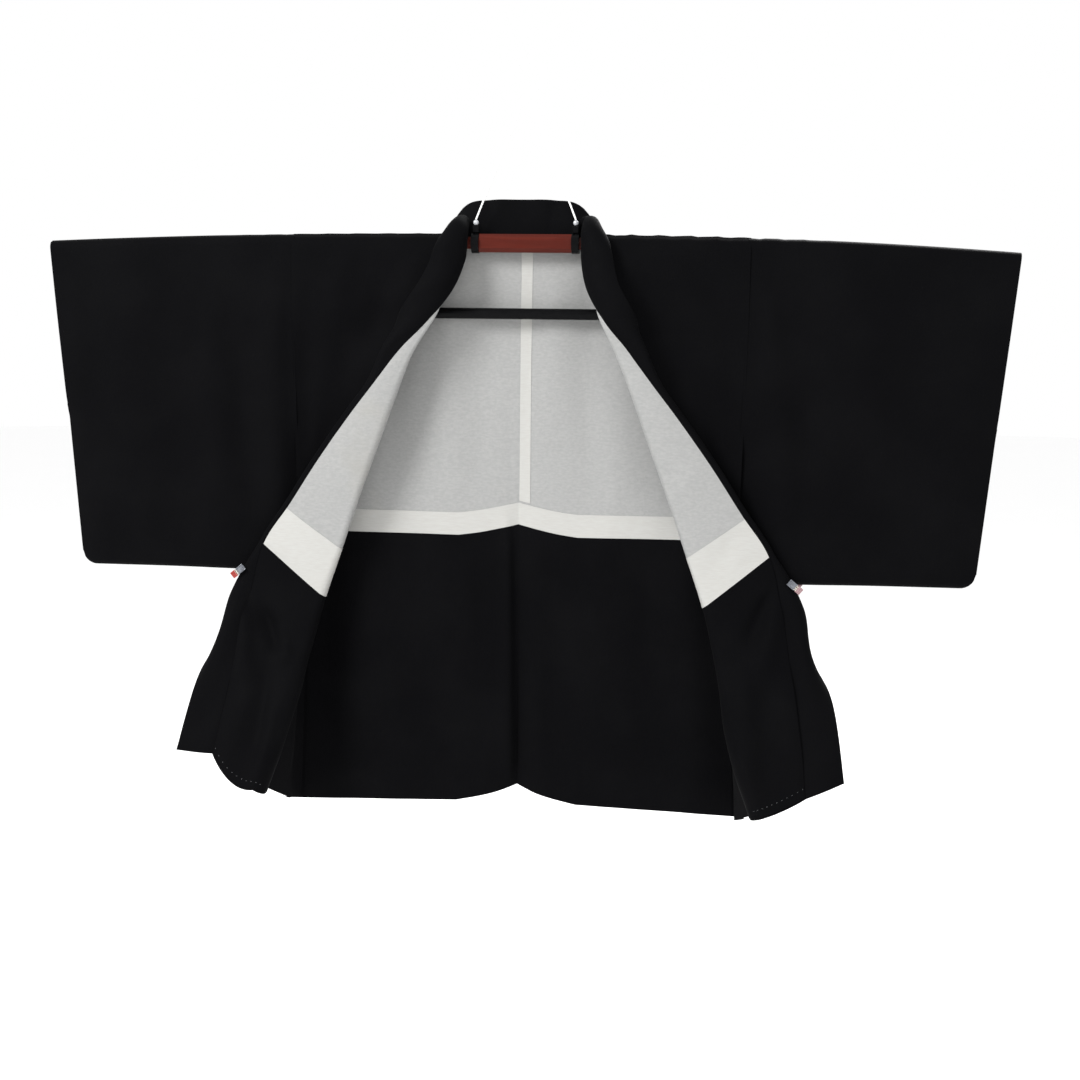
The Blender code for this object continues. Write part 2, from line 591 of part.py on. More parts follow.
def sleeve(side):
    """A flat bag round the arm: cuff open at the top of its outer edge, open along the inner."""
    wall = CREPE
    drop_count = 9
    top_count = 3
    tip_top, tip_bottom = SLEEVE_TIP[side]

    def inner_edge(z):
        """The body seam above, the free inner edge below."""
        return max(side_line(z), side_line(ARMHOLE_Z)) + 0.06 + 0.2 * clamp((ARMHOLE_Z - z) / 3)

    def outer_edge(z):
        return tip_top - (tip_top - tip_bottom) * (SHOULDER_TOP - z) / (SHOULDER_TOP - SLEEVE_BOTTOM)

    def lean(x, fall):
        """How far the bag's bottom is drawn forward to the clip."""
        return -0.9 * fall**2 * math.exp(-(((x - CLIP_X) / 7) ** 2))

    def half_depth(fall):
        """Half the bag's depth at the fraction fall of the way down."""
        return catmull_rom([1.25, 1.45, 1.35, 1.1, 0.75], fall * 4)

    def section(x_fraction, inset, outer_inset):
        """The (front and back) points of one ring, from the top to the bottom fold."""
        bottom = SLEEVE_BOTTOM + inset
        corner = SLEEVE_CORNER
        x_bottom = inner_edge(bottom) + x_fraction * (outer_edge(bottom) - inner_edge(bottom))
        reach = x_bottom - (outer_edge(bottom) - corner)
        if reach > 0:
            bottom += corner - math.sqrt(max(corner**2 - reach**2, 0.0))
        front, back = [], []
        x_top = inner_edge(SHOULDER_TOP) + x_fraction * (outer_edge(SHOULDER_TOP) - inner_edge(SHOULDER_TOP))
        top = SHOULDER_TOP - inset - droop(x_top, side)
        radius = SLEEVE_TOP_RADIUS - inset
        heights = [(0.0, top)]
        for k in range(1, top_count + 1):
            angle = math.pi / 2 * k / top_count
            heights.append((radius * math.sin(angle), top - radius * (1 - math.cos(angle))))
        start = heights[-1][1]
        for k in range(1, drop_count + 1):
            fall = k / drop_count
            z = start + (bottom - start) * fall
            depth = half_depth(fall) - inset
            if k == drop_count:
                depth = 0.0
            elif k == drop_count - 1:
                z = bottom + 1.2
            heights.append((depth, z))
        for depth, z in heights:
            x = inner_edge(z) + x_fraction * (outer_edge(z) - outer_inset - inner_edge(z))
            y = lean(x, clamp((top - z) / (top - bottom)))
            front.append((x, y - depth, z))
            back.append((x, y + depth, z))
        return front, back

    fractions = [0.0, 0.22, 0.45, 0.68, 0.88, 0.955, 0.985, 1.0]
    bm = bmesh.new()
    shells = []
    for inset, outer_inset in ((0.0, 0.0), (wall / CM, wall / CM)):
        rings = []
        for fraction in fractions:
            front, back = section(fraction, inset, outer_inset)
            loop = front + back[-2:0:-1]
            rings.append([bm.verts.new(to_world(point, side)) for point in loop])
        shells.append(rings)
    count = len(shells[0][0])
    last = drop_count + top_count
    for rings in shells:
        for a, b in zip(rings, rings[1:]):
            for k in range(count):
                bm.faces.new([a[k], a[(k + 1) % count], b[(k + 1) % count], b[k]])
    outer, inner = shells
    for k in range(count):
        bm.faces.new([outer[0][k], outer[0][(k + 1) % count], inner[0][(k + 1) % count], inner[0][k]])
    opening = next(
        k for k in range(last) if outer[-1][k].co.z < outer[-1][0].co.z - CUFF_OPENING * CM
    )

    def opposite(k):
        return (count - k) % count

    for k in list(range(opening)) + [opposite(k + 1) for k in range(opening)]:
        after = (k + 1) % count
        bm.faces.new([outer[-1][k], outer[-1][after], inner[-1][after], inner[-1][k]])
    for rings in shells:
        for k in range(opening, last):
            loop = [rings[-1][k], rings[-1][k + 1], rings[-1][opposite(k + 1)], rings[-1][opposite(k)]]
            bm.faces.new(list(dict.fromkeys(loop)))
    bm.faces.new(
        [outer[-1][opening], outer[-1][opposite(opening)], inner[-1][opposite(opening)], inner[-1][opening]]
    )
    return finish_mesh(f"sleeve_{side}", bm, "crepe")


# ---------------------------------------------------------------- hanger


def tube(name, path, radius, material_name, sides=12):
    """A round rod along a path of points."""
    bm = bmesh.new()
    path = [Vector(point) for point in path]
    rings = []
    reference = Vector((0, 1, 0))
    for i, point in enumerate(path):
        tangent = (path[min(i + 1, len(path) - 1)] - path[max(i - 1, 0)]).normalized()
        side_axis = tangent.cross(reference).normalized()
        up_axis = side_axis.cross(tangent)
        ring = []
        for k in range(sides):
            angle = 2 * math.pi * k / sides
            ring.append(bm.verts.new(point + (side_axis * math.cos(angle) + up_axis * math.sin(angle)) * radius))
        rings.append(ring)
    for a, b in zip(rings, rings[1:]):
        for k in range(sides):
            bm.faces.new([a[k], a[(k + 1) % sides], b[(k + 1) % sides], b[k]])
    bm.faces.new(rings[0])
    bm.faces.new(rings[-1])
    return finish_mesh(name, bm, material_name)


def box_mesh(bm, low, high, matrix=None):
    made = bmesh.ops.create_cube(bm, size=1.0)
    low, high = Vector(low), Vector(high)
    size = high - low
    move = Matrix.Translation((low + high) / 2) @ Matrix.Diagonal((*size, 1.0))
    if matrix is not None:
        move = matrix @ move
    bmesh.ops.transform(bm, matrix=move, verts=made["verts"])
    return made["verts"]


def pole():
    """The faceted centre tube."""
    bm = bmesh.new()
    half_y, half_z = POLE_DEPTH / 2, POLE_HEIGHT / 2
    cut_y, cut_z = 0.0050, 0.0055
    outline = [
        (-half_y, -half_z + cut_z),
        (-half_y, half_z - cut_z),
        (-half_y + cut_y, half_z),
        (half_y - cut_y, half_z),
        (half_y, half_z - cut_z),
        (half_y, -half_z + cut_z),
        (half_y - cut_y, -half_z),
        (-half_y + cut_y, -half_z),
    ]
    ends = []
    for x in (-POLE_HALF_LENGTH, POLE_HALF_LENGTH):
        ends.append([bm.verts.new((x, y, POLE_Z + z)) for y, z in outline])
    count = len(outline)
    for k in range(count):
        bm.faces.new([ends[0][k], ends[0][(k + 1) % count], ends[1][(k + 1) % count], ends[1][k]])
    bm.faces.new(ends[0])
    bm.faces.new(ends[1])
    finish_mesh("hanger_pole", bm, "brown_plastic", 20)


def hanger_side(side):
    """The stop ring, telescoping arm, sash-bar link and bail bracket of one side."""
    sign = SIDES[side]
    gap = 0.0003
    ring_start = POLE_HALF_LENGTH + gap
    ring_end = ring_start + RING_LENGTH
    tube(
        f"hanger_ring_{side}",
        [(sign * ring_start, 0, POLE_Z), (sign * ring_end, 0, POLE_Z)],
        RING_RADIUS,
        "black_plastic",
        sides=20,
    )
    path = []
    for x in steps(ring_end + gap, ARM_TIP, 8):
        garment_x = (x - sign * GARMENT_SHIFT) / CM
        path.append((sign * x, 0, ARM_Z - 0.0003 - droop(garment_x, side) * CM))
    tube(f"hanger_arm_{side}", path, ARM_RADIUS, "brown_plastic", sides=14)
    foot_x, foot_z = BAIL_FOOT
    bm = bmesh.new()
    middle = ring_start + RING_LENGTH / 2
    bracket_bottom = POLE_Z + RING_RADIUS + gap
    box_mesh(bm, (-0.0045, -0.004, bracket_bottom), (0.0045, 0.004, foot_z - 0.0075))
    bmesh.ops.translate(bm, verts=bm.verts, vec=(sign * middle, 0, 0))
    bmesh.ops.bevel(bm, geom=bm.edges[:], offset=0.0008, segments=1, affect="EDGES")
    finish_mesh(f"hanger_bracket_{side}", bm, "black_plastic")
    bm = bmesh.new()
    bmesh.ops.create_uvsphere(bm, u_segments=10, v_segments=6, radius=0.0038)
    bmesh.ops.translate(bm, verts=bm.verts, vec=(sign * middle, 0, foot_z - 0.0075 + 0.0003 + 0.0038))
    finish_mesh(f"hanger_knob_{side}", bm, "white_wire")
    link_top = ARM_Z - ARM_RADIUS - 0.0006 - droop((LINK_X + 0.005) / CM, side) * CM
    tube(
        f"sash_bar_link_{side}",
        [(sign * LINK_X, 0, link_top), (sign * LINK_X, 0, OBI_BAR_Z + OBI_BAR_RADIUS + gap)],
        LINK_RADIUS,
        "black_plastic",
        sides=8,
    )


def hanger():
    pole()
    for side in SIDES:
        hanger_side(side)
    tube(
        "sash_bar",
        [(-OBI_BAR_HALF_LENGTH, 0, OBI_BAR_Z), (OBI_BAR_HALF_LENGTH, 0, OBI_BAR_Z)],
        OBI_BAR_RADIUS,
        "black_plastic",
        sides=16,
    )
    middle = POLE_HALF_LENGTH + 0.0003 + RING_LENGTH / 2
    foot = BAIL_FOOT[1] + 0.0006
    bail = [(-middle, 0, foot), (-0.008, 0, BAIL_TOP_Z - 0.012), (0.0, 0, BAIL_TOP_Z)]
    bail += [(0.008, 0, BAIL_TOP_Z - 0.012), (middle, 0, foot)]
    tube("hanger_bail", bail, BAIL_RADIUS, "white_wire", sides=8)
    hook_centre = HOOK_WIRE_RADIUS - HOOK_RADIUS
    path = [(0, 0, BAIL_TOP_Z + BAIL_RADIUS + HOOK_WIRE_RADIUS)]
    for angle in steps(-90, 200, 20):
        turn = math.radians(angle)
        path.append((HOOK_RADIUS * math.cos(turn), 0, hook_centre + HOOK_RADIUS * math.sin(turn)))
    tube("hanger_hook", path, HOOK_WIRE_RADIUS, "white_wire", sides=8)


def clip(side):
    """A small clothes clip that holds the turned-back front to the sleeve's bottom edge."""
    sign = SIDES[side]
    centre = Vector((sign * CLIP_X * CM + GARMENT_SHIFT, 0, -0.6945))
    turn = Matrix.Translation(centre) @ Matrix.Rotation(math.radians(40) * sign, 4, "Y")
    bm = bmesh.new()
    box_mesh(bm, (-0.0105, -0.0425, -0.0045), (0.0110, -0.0400, 0.0045), turn)
    finish_mesh(f"clip_front_{side}", bm, "clip_plastic")
    bm = bmesh.new()
    box_mesh(bm, (-0.0105, 0.0022, -0.0045), (0.0110, 0.0047, 0.0045), turn)
    finish_mesh(f"clip_back_{side}", bm, "clip_plastic")


def clear_scene():
    for thing in list(bpy.data.objects):
        bpy.data.objects.remove(thing, do_unlink=True)


def main():
    clear_scene()
    bodies = {side: BodySide(side) for side in SIDES}
    collar_neck(bodies)
    for side, body in bodies.items():
        body_panel(side, body)
        back_inside(side, body)
        front_inside(side, body)
        gusset(side, body)
        collar_pieces(side, body)
        sleeve(side)
        if side == "right":
            centre_allowance(body)
        clip(side)
    hanger()


main()
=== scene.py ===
"""The looks of a women's lined black haori hanging on its kimono hanger.

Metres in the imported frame. The garment's tables and sections are those of the solids, in
centimetres for one side, drawn here on finer grids with creases laid over them.
"""

import math
from collections import namedtuple

import bmesh
import bpy
import numpy as np
from mathutils import Matrix, Vector


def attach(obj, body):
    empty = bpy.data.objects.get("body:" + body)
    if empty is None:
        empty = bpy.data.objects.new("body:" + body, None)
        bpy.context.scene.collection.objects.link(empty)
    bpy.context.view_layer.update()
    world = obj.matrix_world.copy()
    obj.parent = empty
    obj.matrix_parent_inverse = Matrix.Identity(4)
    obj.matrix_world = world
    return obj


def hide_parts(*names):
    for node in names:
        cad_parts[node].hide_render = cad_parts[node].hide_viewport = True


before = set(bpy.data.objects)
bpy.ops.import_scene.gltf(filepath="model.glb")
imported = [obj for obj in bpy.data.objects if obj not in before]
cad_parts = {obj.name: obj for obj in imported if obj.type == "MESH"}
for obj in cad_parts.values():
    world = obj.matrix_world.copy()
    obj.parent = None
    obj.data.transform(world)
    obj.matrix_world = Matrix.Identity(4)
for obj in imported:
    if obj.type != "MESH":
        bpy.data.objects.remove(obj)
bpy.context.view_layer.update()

CM = 0.01

# Left and right are the viewer's. Both are worked out with x rising away from the centre.
SIDES = {"left": -1, "right": 1}

# Thicknesses of the cloths, and how far the linings lie inside the middle of the crepe.
CREPE = 0.08
LINING = 0.06
COLLAR_WALL = 0.26
LINING_OFFSET = 0.11

# The garment sits a little to one side on the hanger, by this many metres. Its neckline
# leans after the pole, fading in over these heights and out over the other two stretches.
GARMENT_SHIFT = -0.009
NECK_LEAN = 0.9
LEAN_Z = (-40, -27)
LEAN_X = (31, 11)
LEAN_Y = (2, 0.5)

# The shoulder line follows the arm, which bends down from DROOP_START on, and the cloth's
# slack ripples along it. Both die out down to SETTLED_Z, the ripples sooner.
SHOULDER_TOP = -23.27
ARM_DROOP = {"left": 4.2e-4, "right": 6.4e-4}
DROOP_START = 10
RIPPLE_DEPTH = {"left": 0.03, "right": 0.09}
RIPPLE_START = 9.5
RIPPLE_RISE = 3
RIPPLE_FADE = 6
SETTLED_Z = -60

# Sleeve: a flat bag on the hanger's arm, with its outer edge's x at the top and the bottom.
SLEEVE_TIP = {"left": (66, 60.7), "right": (66.8, 60.9)}
SLEEVE_BOTTOM = -69.6
SLEEVE_CORNER = 1.8
SLEEVE_HALF_DEPTHS = (1.25, 1.45, 1.35, 1.1, 0.75)
SLEEVE_TOP_RADIUS = 1.25
SLEEVE_BOTTOM_RADIUS = 1
CUFF_OPENING = 22.5
CUFF_EDGE = 0.14
ARMHOLE_Z = -50
INNER_EDGE_TUCK = 0.30
INNER_EDGE_WIDTH = 0.07
# How much the bag is pressed flat at its sewn edge, at the cuff and at its loose inner edge.
SEWN_PRESS, CUFF_PRESS, INNER_PRESS = 0.93, 0.5, 0.72
SEWN_EDGE = 0.0004
# The arm's slack ends here on the sleeve, and the clip pulls its lower edge forward.
SLACK_END, SLACK_FADE = 44, 12
CLIP_X = 37.5
CLIP_PULL, CLIP_PULL_WIDTH = 0.9, 7

# The side seam's distance from the centre back seam, from the shoulder down.
SIDE_LINE = {"z": (-101, -81, -66, -50, -36, -23), "x": (29.9, 29.6, 29.8, 30.5, 31.05, 31.3)}

# Front panel, one row for each section from the shoulder crest down to the hem. seam is
# where the collar joins, roll the turned-back edge with its radius, side_y and side_z the
# sleeve or gusset seam. Above the point of the neckline there is no roll: spread is then
# the spacing of the section's first points. bow_out curves the turned-back strip towards
# the front, bow_in the rest of the panel towards the back, sag lowers the strip's middle.
FrontRow = namedtuple("FrontRow", "seam roll radius side_y side_z spread bow_out bow_in sag")
FRONT_ROWS = [
    ((8.2, 0, -23.27), None, 0.2, 0, -23.27, 1.6, 0, 0, 0),
    ((7.9, -1.25, -24.4), None, 0.2, -1.25, -24.4, 1.4, 0, 0, 0),
    ((8, -2.5, -27.2), None, 0.2, -1.45, -28, 1.1, 0, 0.4, 0),
    ((9.2, -3.6, -31), None, 0.2, -1.5, -33.5, 0.6, 0, 0.9, 0),
    ((11.9, -4.7, -35), (11.5, -4.4, -35.3), 0.22, -1.5, -38.5, 0, 0, 1.7, 0),
    ((15.3, -4.8, -38.9), (13.9, -4.3, -39.6), 0.45, -1.5, -42, 0, 0.05, 1.5, 0),
    ((18.9, -4.8, -43.6), (16.1, -4, -45.2), 0.7, -1.4, -46, 0, 0.1, 0.9, 0),
    ((22.3, -4.6, -48), (17.9, -3.9, -50.3), 0.75, -1.3, -49.8, 0, 0.2, 0.8, 0),
    ((26.6, -4.2, -54), (20.6, -3.7, -58), 0.75, -1.1, -57.8, 0, 0.25, 0.7, 0),
    ((30.5, -3.8, -60), (23, -3.4, -65.2), 0.75, -0.9, -65.4, 0, 0.25, 0.6, 0),
    ((34.2, -3.5, -65.6), (25.5, -3.5, -72.6), 0.85, -0.9, -73, 0, 0.25, 0.5, 0),
    ((35.9, -3.9, -72.8), (27.2, -4.8, -79.6), 1.1, -1.7, -80.6, 0, 0.35, 0.2, 0.2),
]
FRONT_LOWER_ROWS = {
    "left": [
        ((37.2, -6.6, -81.4), (29.1, -8.4, -87.4), 1.3, -3, -89, 0, 0.5, 0, 0.6),
        ((39, -10, -92.9), (31.2, -12, -97.3), 1.5, -4.2, -99.9, 0, 0.7, 0, 1.2),
    ],
    "right": [
        ((37.3, -6.6, -82), (29, -8.4, -87.8), 1.3, -3, -89.2, 0, 0.4, 0, 0.1),
        ((39, -10, -95.6), (32, -12, -97.9), 1.5, -4.2, -100.3, 0, 0.5, 0, 0.1),
    ],
}
ROW_ARMHOLE, ROW_FRONT_HEM = 7, 13
# How soon the plain sections above the neckline's point reach their full bow.
PLAIN_BOW_RISE = 1.9

# Back panel, rows from the shoulder crest down to the hem: heights and depths at the
# centre seam, beside it, at the neck column and at the side.
BackRow = namedtuple("BackRow", "z_centre z_neck z_side y_centre y_near y_neck y_side")
BACK_ROWS = [
    (-23.3, -23.27, -23.27, 1, 0.8, 0, 0),
    (-24.5, -24.4, -24.4, 2.15, 2.05, 1.75, 1.25),
    (-28.5, -28, -28, 2.1, 2.05, 1.8, 1.4),
    (-38.5, -38.5, -38.5, 2.2, 2.1, 1.9, 1.5),
    (-49.2, -50, -49.8, 2.3, 2.1, 1.95, 1.4),
    (-64, -65.6, -65.4, 2.7, 2.15, 2, 1.5),
    (-80, -81.5, -81.5, 3.2, 2.3, 2.05, 1.7),
    (-91.5, -93.2, -93.4, 3.6, 2.4, 2.05, 1.9),
    (-98.8, -100.9, -101.5, 3.8, 2.5, 2.05, 2),
]
ROW_NECKLINE, ROW_BACK_ARMHOLE, ROW_BACK_HEM = 1, 4, 8
# Control points across the back: x in the neck opening, then fractions from neck to side.
NECK_X = (0, 2.7, 5.4, 8.2)
CREST_FRACTIONS = (0, 0.07, 0.14, 0.21, 0.28, 0.62, 1)

# Collar, one row for each section from the centre back to the hem. A section leaves the
# neck seam at the angle start, runs straight for lead, bends through turn on radius and
# runs straight for the rest of width. azimuth and tilt aim its outward axis, lean its
# second axis, which points up at the neck and forward on the fronts. seam is given only
# behind the crest.
CollarRow = namedtuple("CollarRow", "t seam azimuth tilt lean width start lead turn radius")
COLLAR_ROWS = [
    (-4, (0, 2.35, -24.05), 90, 0, 0, 5.7, 84, 0, -4, 20),
    (-3, (4.2, 2.2, -24.05), 78, 0, 0, 5.7, 86, 0, -12, 16),
    (-2, (6.9, 1.75, -23.95), 48, 0, 0, 5.7, 96, 0.3, -98, 2.7),
    (-1, (7.9, 0.95, -23.55), 18, 0, 0, 5.7, 102, 1.35, -168, 1.05),
    (0, None, 0, 0, 0, 5.7, 104, 1.2, -180, 1),
    (1, None, 0, 0, 45, 5.6, 100, 0.3, -165, 1.7),
    (2, None, 0, -6, 85, 5.6, 72, 0, -105, 3),
    (3, None, 0, 2, 90, 5.6, 66, 0, -92, 3.5),
    (4, None, 0, 8, 90, 5.1, 50, 0, -114, 2.4),
    (5, None, 0, 25, 90, 4.8, 22, 1.5, -200, 0.6),
    (6, None, 0, 36, 90, 5, 14, 0.2, -194, 0.58),
    (7, None, 0, 36, 90, 5.2, 12, 0, -190, 0.58),
    (8, None, 0, 36, 90, 5.4, 10, 0, -188, 0.52),
    (9, None, 0, 36, 90, 5.4, 8, 0, -186, 0.46),
    (10, None, 0, 34, 90, 5.4, 4, 0, -180, 0.45),
    (11, None, 0, 10, 90, 5.4, 10, 1.3, -150, 1.2),
]
COLLAR_LOWER_ROWS = {
    "left": [
        (12, None, 0, 3, 90, 5.4, 0, 1.8, -80, 2.1),
        (13, None, 0, 1, 90, 5.4, 0, 0, -16, 14),
    ],
    "right": [
        (12, None, 0, 9, 90, 5.4, 0, 1.6, -84, 2.1),
        (13, None, 0, 22, 90, 5.4, 0, 0, -16, 14),
    ],
}
COLLAR_FIRST, COLLAR_FRONT, COLLAR_FLAT, COLLAR_HEM = -4, 4, 10.5, 13
COLLAR_PARTS = ("chest", "turned", "end")
# At the back of the neck the band starts this far inside its seam, up to the crest.
COLLAR_TUCK = 0.6
COLLAR_TUCK_END = 1.5
# Share of the band's width over which its free edge is rounded off.
COLLAR_EDGE = 0.045


# ---------------- splines


def catmull_rom(points, t):
    """The point at t on a Catmull-Rom curve that passes points[i] at t = i."""
    points = np.asarray(points, float)
    last = len(points) - 1
    t = min(max(t, 0), float(last))
    i = min(int(t), last - 1)
    f = t - i
    before = points[i - 1] if i > 0 else 2 * points[0] - points[1]
    after = points[i + 2] if i + 2 <= last else 2 * points[last] - points[last - 1]
    a, b = points[i], points[i + 1]
    return (
        a
        + 0.5 * f * (b - before)
        + f * f * (before - 2.5 * a + 2 * b - 0.5 * after)
        + 0.5 * f**3 * (3 * a - 3 * b + after - before)
    )


def net(rows):
    """The surface through a net of control points, rows along u and columns along v."""
    return lambda u, v: catmull_rom([catmull_rom(row, v) for row in rows], u)


def clamp(value, low=0, high=1):
    return min(max(value, low), high)


def side_line(z):
    """The side seam's x at the height z, in centimetres."""
    return float(np.interp(z, SIDE_LINE["z"], SIDE_LINE["x"]))


def droop(x, side):
    """How far the hanger's arm has bent down at x, in centimetres."""
    return ARM_DROOP[side] * max(x - DROOP_START, 0) ** 2


def ripple(x, side):
    """How far the slack cloth dips below the shoulder line at x, in centimetres."""
    fade = clamp((x - RIPPLE_START) / RIPPLE_RISE)
    return RIPPLE_DEPTH[side] * fade * (1 + 0.7 * math.sin(x / 0.62) + 0.3 * math.sin(x / 0.27 + 1))


class FrontPanel:
    """The front of one side. v runs from the collar seam at 0 over the roll, 2 to 4, to the side at 6."""

    def __init__(self, rows):
        self.rows = []
        for row in map(FrontRow._make, rows):
            # Without a roll, a point near the seam stands in for it.
            roll = row.roll or np.subtract(row.seam, (0.3, -0.3, 0.3))
            side = (side_line(row.side_z), row.side_y, row.side_z)
            shape = (row.radius, row.spread, row.bow_out, row.bow_in, row.sag)
            self.rows.append(np.array((*row.seam, *roll, *side, *shape, float(row.roll is None))))

    def at(self, u, v):
        values = catmull_rom(self.rows, u)
        seam, roll, side = values[0:3], values[3:6], values[6:9]
        radius, spread, bow_out, bow_in, sag, openness = values[9:]
        openness = clamp(openness)
        v = clamp(v, 0, 6)
        rolled = self.rolled(v, seam, roll, side, radius, (0, -bow_out, -sag), (0, bow_in, 0))
        if openness == 0:
            return rolled
        return openness * self.plain(v, seam, side, spread, bow_in) + (1 - openness) * rolled

    @staticmethod
    def plain(v, seam, side, spread, bow_in):
        """A point of a section that isn't turned back."""
        first = spread * 4 / np.linalg.norm(side - seam)
        f = first * v / 4 if v < 4 else first + (1 - first) * (v - 4) / 2
        fall = math.sin(math.pi / 2 * min(f * PLAIN_BOW_RISE, 1)) * (1 - f**3)
        return seam + (side - seam) * f + np.array((0, bow_in * fall, 0))

    @staticmethod
    def rolled(v, seam, roll, side, radius, strip_bow, side_bow):
        """A point of a turned-back section: the strip, a half turn about the roll, the way back."""
        across = (seam - roll) * (1, 0, 1)
        across = across / np.linalg.norm(across)
        forward = np.array((0, -1, 0))
        centre = roll + across * radius
        if 2 < v < 4:
            angle = math.pi * (v - 2) / 2
            return centre + radius * (forward * math.cos(angle) - across * math.sin(angle))
        if v <= 2:
            start, end, bow, f = seam, centre + forward * radius, strip_bow, v / 2
        else:
            start, end, bow, f = centre - forward * radius, side, side_bow, (v - 4) / 2
        return start + (end - start) * f + np.array(bow) * (4 * f * (1 - f))


def back_control_row(row, in_neck=False):
    """Control points of a back section, from the neck to the side or within the neck opening."""
    row = BackRow(*row)
    z_near = row.z_neck + (row.z_centre - row.z_neck) * 0.6
    z_inner = row.z_neck + (row.z_centre - row.z_neck) * 0.25
    y_inner = row.y_neck + (row.y_near - row.y_neck) * 0.6
    neck = [
        np.array((NECK_X[0], row.y_centre, row.z_centre)),
        np.array((NECK_X[1], row.y_near, z_near)),
        np.array((NECK_X[2], y_inner, z_inner)),
    ]
    start = np.array((NECK_X[3], row.y_neck, row.z_neck))
    end = np.array((side_line(row.z_side), row.y_side, row.z_side))
    shoulder = [start + (end - start) * f for f in CREST_FRACTIONS]
    return neck + [shoulder[0]] if in_neck else shoulder


class Collar:
    """The folded collar band of one side, as a section swept along the neck seam."""

    def __init__(self, body):
        self.body = body
        rows = [CollarRow(*row) for row in COLLAR_ROWS + COLLAR_LOWER_ROWS[body.side]]
        self.values = [row[2:] for row in rows]
        self.seams = [row.seam or body.front.rows[row.t][:3] for row in rows]

    def at(self, t, v):
        """The point at the fraction v of the width, from the seam to the free edge."""
        place = t - COLLAR_FIRST
        azimuth, tilt, lean, width, start, lead, turn, radius = catmull_rom(self.values, place)
        seam = catmull_rom(self.seams, place)
        azimuth, tilt, lean = map(math.radians, (azimuth, tilt, lean))
        start, turn = math.radians(start), math.radians(turn)
        out = np.array(
            (math.cos(azimuth) * math.cos(tilt), math.sin(azimuth) * math.cos(tilt), math.sin(tilt))
        )
        second = np.array((0, -math.sin(lean), math.cos(lean)))
        first = -COLLAR_TUCK * clamp(-t / COLLAR_TUCK_END)
        run = first + v * (width - first)
        lead = clamp(run, 0, max(lead, 0))
        bend = clamp(run - lead, 0, abs(turn) * radius)
        rest = run - lead - bend
        bow = math.copysign(radius, turn)
        angle = start + bend / bow
        along = lead * math.cos(start) + bow * (math.sin(angle) - math.sin(start)) + rest * math.cos(angle)
        up = lead * math.sin(start) + bow * (math.cos(start) - math.cos(angle)) + rest * math.sin(angle)
        return self.body.lowered(seam + out * along + second * up)


# ---------------- creases

